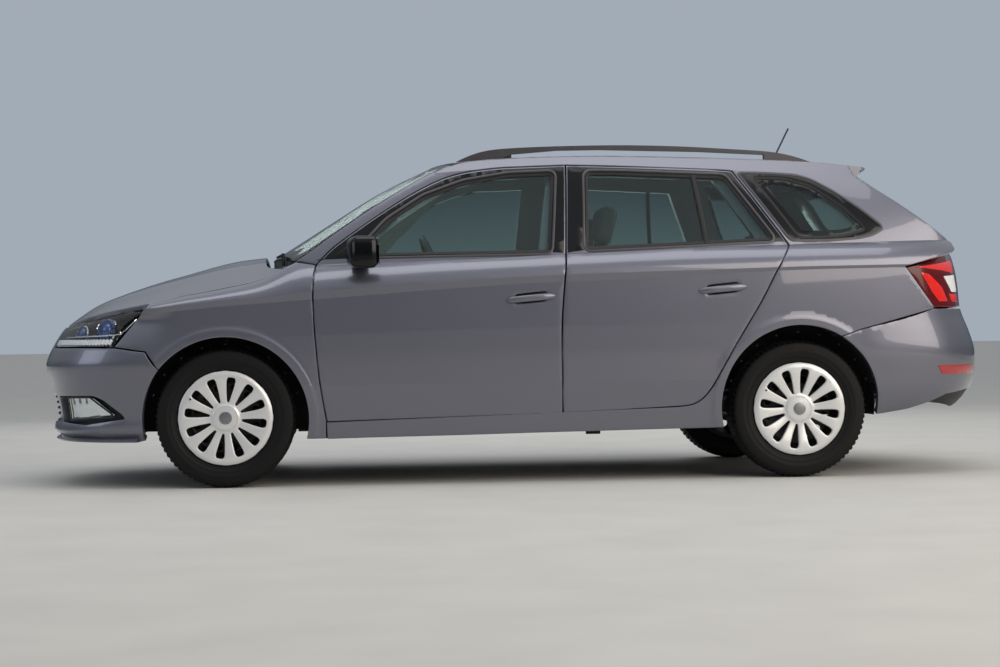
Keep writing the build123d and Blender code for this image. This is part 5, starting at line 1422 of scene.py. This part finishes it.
def repeated(path, count, size, material, spread=0.0):
    """Plain mesh of the ellipsoids that the node tree puts along a path."""
    mesh = bpy.data.meshes.new("path")
    mesh.from_pydata([tuple(p) for p in path], [(i, i + 1) for i in range(len(path) - 1)], [])
    carrier = bpy.data.objects.new("path", mesh)
    bpy.context.scene.collection.objects.link(carrier)
    modifier = carrier.modifiers.new("repeat", "NODES")
    modifier.node_group, keys = repeat_tree(material)
    for name, value in (("Count", count), ("Size", size), ("Spread", spread), ("Seed", SEED)):
        modifier[keys[name]] = value
    graph = bpy.context.evaluated_depsgraph_get()
    plain = bpy.data.meshes.new_from_object(carrier.evaluated_get(graph))
    carrier.modifiers.remove(modifier)
    bpy.data.objects.remove(carrier)
    bpy.data.meshes.remove(mesh)
    bm = bmesh.new()
    bm.from_mesh(plain)
    bpy.data.meshes.remove(plain)
    for face in bm.faces:
        face.material_index = 0
    return bm


# stitches round the door card inserts
for name, corners, bodies in (
        ("front_door", [(676, 682), (1298, 692), (1330, 868), (624, 858)], FRONT_DOORS),
        ("rear_door", [(1550, 700), (2090, 700), (2162, 870), (1550, 870)], REAR_DOORS)):
    loop = rounded(corners, 34)
    path = [card_place(12.5)(*p) for p in loop + loop[:1]]
    both_sides(f"{name}_card_stitches", repeated(path, 150, (0.0010, 0.0010, 0.0042), THREAD, 0.15),
               THREAD, bodies)
# push studs along the edges of the wheel arch liners
studs = []
for arch, radius in ((FRONT_ARCH, 322), (REAR_ARCH, 316)):
    path = [Vector((at(s), 0.800, z / 1000)) for s, z in arc(*arch[:2], radius, 20, 160, 60)]
    studs.append(repeated(path, 9, (0.006, 0.004, 0.006), BLACK))
piece("liner_studs", mirrored_pair(joined(*studs)), BLACK, "body")

# ---------------------------------------------------------------- cabin
def cushion(x0, x1, y0, y1, z0, z1, bevel, bulge=0.012):
    """A stuffed block: rounded edges and a crowned face."""
    bm = block(x0, x1, y0, y1, z0, z1, bevel, 5)
    bmesh.ops.subdivide_edges(bm, edges=[e for e in bm.edges if e.calc_length() > 0.08], cuts=8,
                              use_grid_fill=True)
    cx, cy, cz = (x0 + x1) / 2, (y0 + y1) / 2, (z0 + z1) / 2
    for v in bm.verts:
        u, w, t = (v.co.x - cx) / (x1 - x0) * 2, (v.co.y - cy) / (y1 - y0) * 2, \
            (v.co.z - cz) / (z1 - z0) * 2
        if abs(t) > 0.9:
            v.co.z += math.copysign(bulge * (1 - u * u) * (1 - w * w), t)
    return bm


def leaned(bm, pivot, angle):
    """Turns a bmesh rearward about a cross axis."""
    turn = Matrix.Translation(pivot) @ Matrix.Rotation(math.radians(angle), 4, "Y") \
        @ Matrix.Translation(-Vector(pivot))
    bm.transform(turn)
    return bm


def seat(y):
    """Front seat parts: centre panels, bolsters, headrest."""
    pivot = Vector((at(1465), y, 0.44))
    back = cushion(at(1530), at(1425), y - 0.150, y + 0.150, 0.455, 1.03, 0.035, 0.0)
    for v in back.verts:
        if v.co.x > at(1470):
            v.co.x += 0.012 * math.cos((v.co.z - 0.74) * 5.0) * (1 - ((v.co.y - y) / 0.16) ** 2)
    rest = cushion(at(1540), at(1455), y - 0.125, y + 0.125, 1.075, 1.235, 0.035, 0.0)
    panels = [cushion(at(1490), at(1015), y - 0.165, y + 0.165, 0.375, 0.478, 0.035),
              leaned(back, pivot, -17), leaned(rest, pivot, -15)]
    bolsters = [cushion(at(1480), at(1020), m - 0.045, m + 0.045, 0.370, 0.502, 0.038, 0.004)
                for m in (y - 0.205, y + 0.205)]
    bolsters += [leaned(cushion(at(1525), at(1395), m - 0.042, m + 0.042, 0.47, 0.98, 0.036, 0.0),
                        pivot, -17) for m in (y - 0.190, y + 0.190)]
    return joined(*panels), joined(*bolsters)


SEAT_Y = (0.355, -0.355)
panels, bolsters = zip(*[seat(y) for y in SEAT_Y])
panels = piece("front_seat_panels", joined(*panels), CLOTH, "body", 60, ["front_seats"])
bolsters = piece("front_seat_bolsters", joined(*bolsters), BOLSTER, "body", 60)
posts = []
for y in SEAT_Y:
    for side in (-0.06, 0.06):
        posts.append(sweep([Vector((at(1618), y + side, 0.99)), Vector((at(1650), y + side, 1.11))],
                           AHEAD, circle(0.006)))
    for y0, y1 in ((y - 0.20, y - 0.17), (y + 0.17, y + 0.20)):
        posts.append(block(at(1500), at(1130), y0, y1, 0.2405, 0.38, 0.004))
piece("front_seat_frames", joined(*posts), ZINC, "body")
places = (-0.395, 0.0, 0.395)
bench = [cushion(at(2235), at(1785), y - 0.19, y + 0.19, 0.430, 0.528, 0.035) for y in places]
pivot = Vector((at(2215), 0, 0.47))
backs = [leaned(cushion(at(2330), at(2225), y - 0.19, y + 0.19, 0.47, 1.01, 0.035, 0.0), pivot, -17)
         for y in places]
rests = [leaned(cushion(at(2310), at(2245), y - 0.12, y + 0.12, 1.045, 1.165, 0.028, 0.0), pivot, -15)
         for y in (-0.37, 0.0, 0.37)]
rear_seat = piece("rear_bench_pads", joined(*bench, *backs, *rests), CLOTH, "body", 60, ["rear_bench"])

# steering wheel
tilt = math.radians(24)
axis = Vector((-math.cos(tilt), 0, math.sin(tilt)))
hub = Vector((0.356, 0.355, 0.915))
down = Vector((-math.sin(tilt), 0, -math.cos(tilt)))


def wheel_ring(radius, count=64):
    """Points of a circle in the steering wheel's plane, 64 to a turn."""
    return [hub + LEFT * radius * math.cos(math.tau * k / 64) + down * radius * math.sin(math.tau * k / 64)
            for k in range(count)]


parts = [sweep(wheel_ring(0.178), axis, circle(0.0138, 12), True)]
for direction in (LEFT, -LEFT, down):
    parts.append(sweep([hub + direction * 0.05 - axis * 0.012, hub + direction * 0.11 - axis * 0.008,
                        hub + direction * 0.170], axis,
                       [(-0.020, -0.006), (0.020, -0.006), (0.017, 0.007), (-0.017, 0.007)]))
parts.append(revolved([(0.0, 0.009), (0.045, 0.007), (0.060, -0.004), (0.061, -0.026), (0.0, -0.029)],
                      hub, axis))
piece("steering_wheel_rim", joined(*parts), DASH, "steering", 40, ["steering_wheel"])
column = hub - axis * 0.05
stalks = [sweep([column, column + Vector((0, y, 0.01))], UP, circle(0.007, 8)) for y in (-0.13, 0.13)]
piece("column_stalks", joined(*stalks), BLACK, "body")
stitches = repeated(wheel_ring(0.1645, 65), 170, (0.0012, 0.0012, 0.0022), THREAD, 0.1)
piece("steering_wheel_stitches", stitches, THREAD, "steering")

# ---------------------------------------------------------------- floor, light and camera
bm = bmesh.new()
bmesh.ops.create_grid(bm, x_segments=2, y_segments=2, size=120)
ground = bpy.data.meshes.new("floor")
bm.to_mesh(ground)
bm.free()
# pale honed concrete
ground.materials.append(finish("pale_honed_concrete", "#c9c7c1", 0.75, spread=0.04, scale=2.5, bump=0.1,
                               bump_scale=60.0))
floor = bpy.data.objects.new("floor", ground)
bpy.context.scene.collection.objects.link(floor)


def area_light(name, place, target, size, power, colour="#ffffff", mirrored=True):
    """A soft rectangular lamp; mirrored says if shiny surfaces show it."""
    data = bpy.data.lights.new(name, "AREA")
    data.shape = "RECTANGLE"
    data.size, data.size_y = size
    data.energy = power
    data.color = linear(colour)
    lamp_object = bpy.data.objects.new(name, data)
    lamp_object.location = place
    lamp_object.visible_glossy = mirrored
    lamp_object.rotation_euler = (Vector(target) - Vector(place)).to_track_quat("-Z", "Y").to_euler()
    bpy.context.scene.collection.objects.link(lamp_object)


area_light("overhead", (0.0, 1.0, 5.5), (0, 0, 0.6), (7.0, 3.2), 110)
area_light("key", (-6.5, 6.5, 4.2), (-0.8, 0, 0.6), (10.0, 6.0), 560, "#fff4e6")
area_light("front_fill", (7.0, 2.0, 2.2), (1.0, 0, 0.6), (3.0, 2.0), 30, "#eaf1ff")
area_light("far_fill", (0.0, -6.0, 3.5), (0, 0, 0.8), (6.0, 2.5), 90, mirrored=False)

world = bpy.data.worlds.new("studio")
bpy.context.scene.world = world
world.use_nodes = True
tree = world.node_tree
tree.nodes.clear()
direction = add(tree, "ShaderNodeTexCoord").outputs["Generated"]
height = add(tree, "ShaderNodeSeparateXYZ", {"Vector": direction}).outputs["Z"]
sky = add(tree, "ShaderNodeValToRGB", {"Fac": height})
sky.color_ramp.elements[0].position = 0.0
sky.color_ramp.elements[0].color = linear("#3f4c5c") + [1.0]
sky.color_ramp.elements[1].position = 0.6
sky.color_ramp.elements[1].color = linear("#e9eef5") + [1.0]
ambient = add(tree, "ShaderNodeBackground", {"Color": sky.outputs["Color"], "Strength": 0.62}).outputs[0]
shown = add(tree, "ShaderNodeBackground", {"Color": linear("#aab4bf") + [1.0], "Strength": 0.9}).outputs[0]
camera_ray = add(tree, "ShaderNodeLightPath").outputs["Is Camera Ray"]
mixed = add(tree, "ShaderNodeMixShader", {0: camera_ray, 1: ambient, 2: shown}).outputs[0]
add(tree, "ShaderNodeOutputWorld", {"Surface": mixed})

camera_data = bpy.data.cameras.new("camera")
camera_data.sensor_width = 36.0
camera_data.lens = 73.08
camera = bpy.data.objects.new("camera", camera_data)
camera.location = (0.826, 9.484, 0.621)
camera.rotation_mode = "QUATERNION"
camera.rotation_quaternion = Vector((-0.0812, -0.9967, 0.0022)).to_track_quat("-Z", "Y") \
    @ Quaternion((0, 0, 1), -0.0135)
bpy.context.scene.collection.objects.link(camera)
bpy.context.scene.camera = camera
bpy.context.scene.view_settings.view_transform = "Standard"
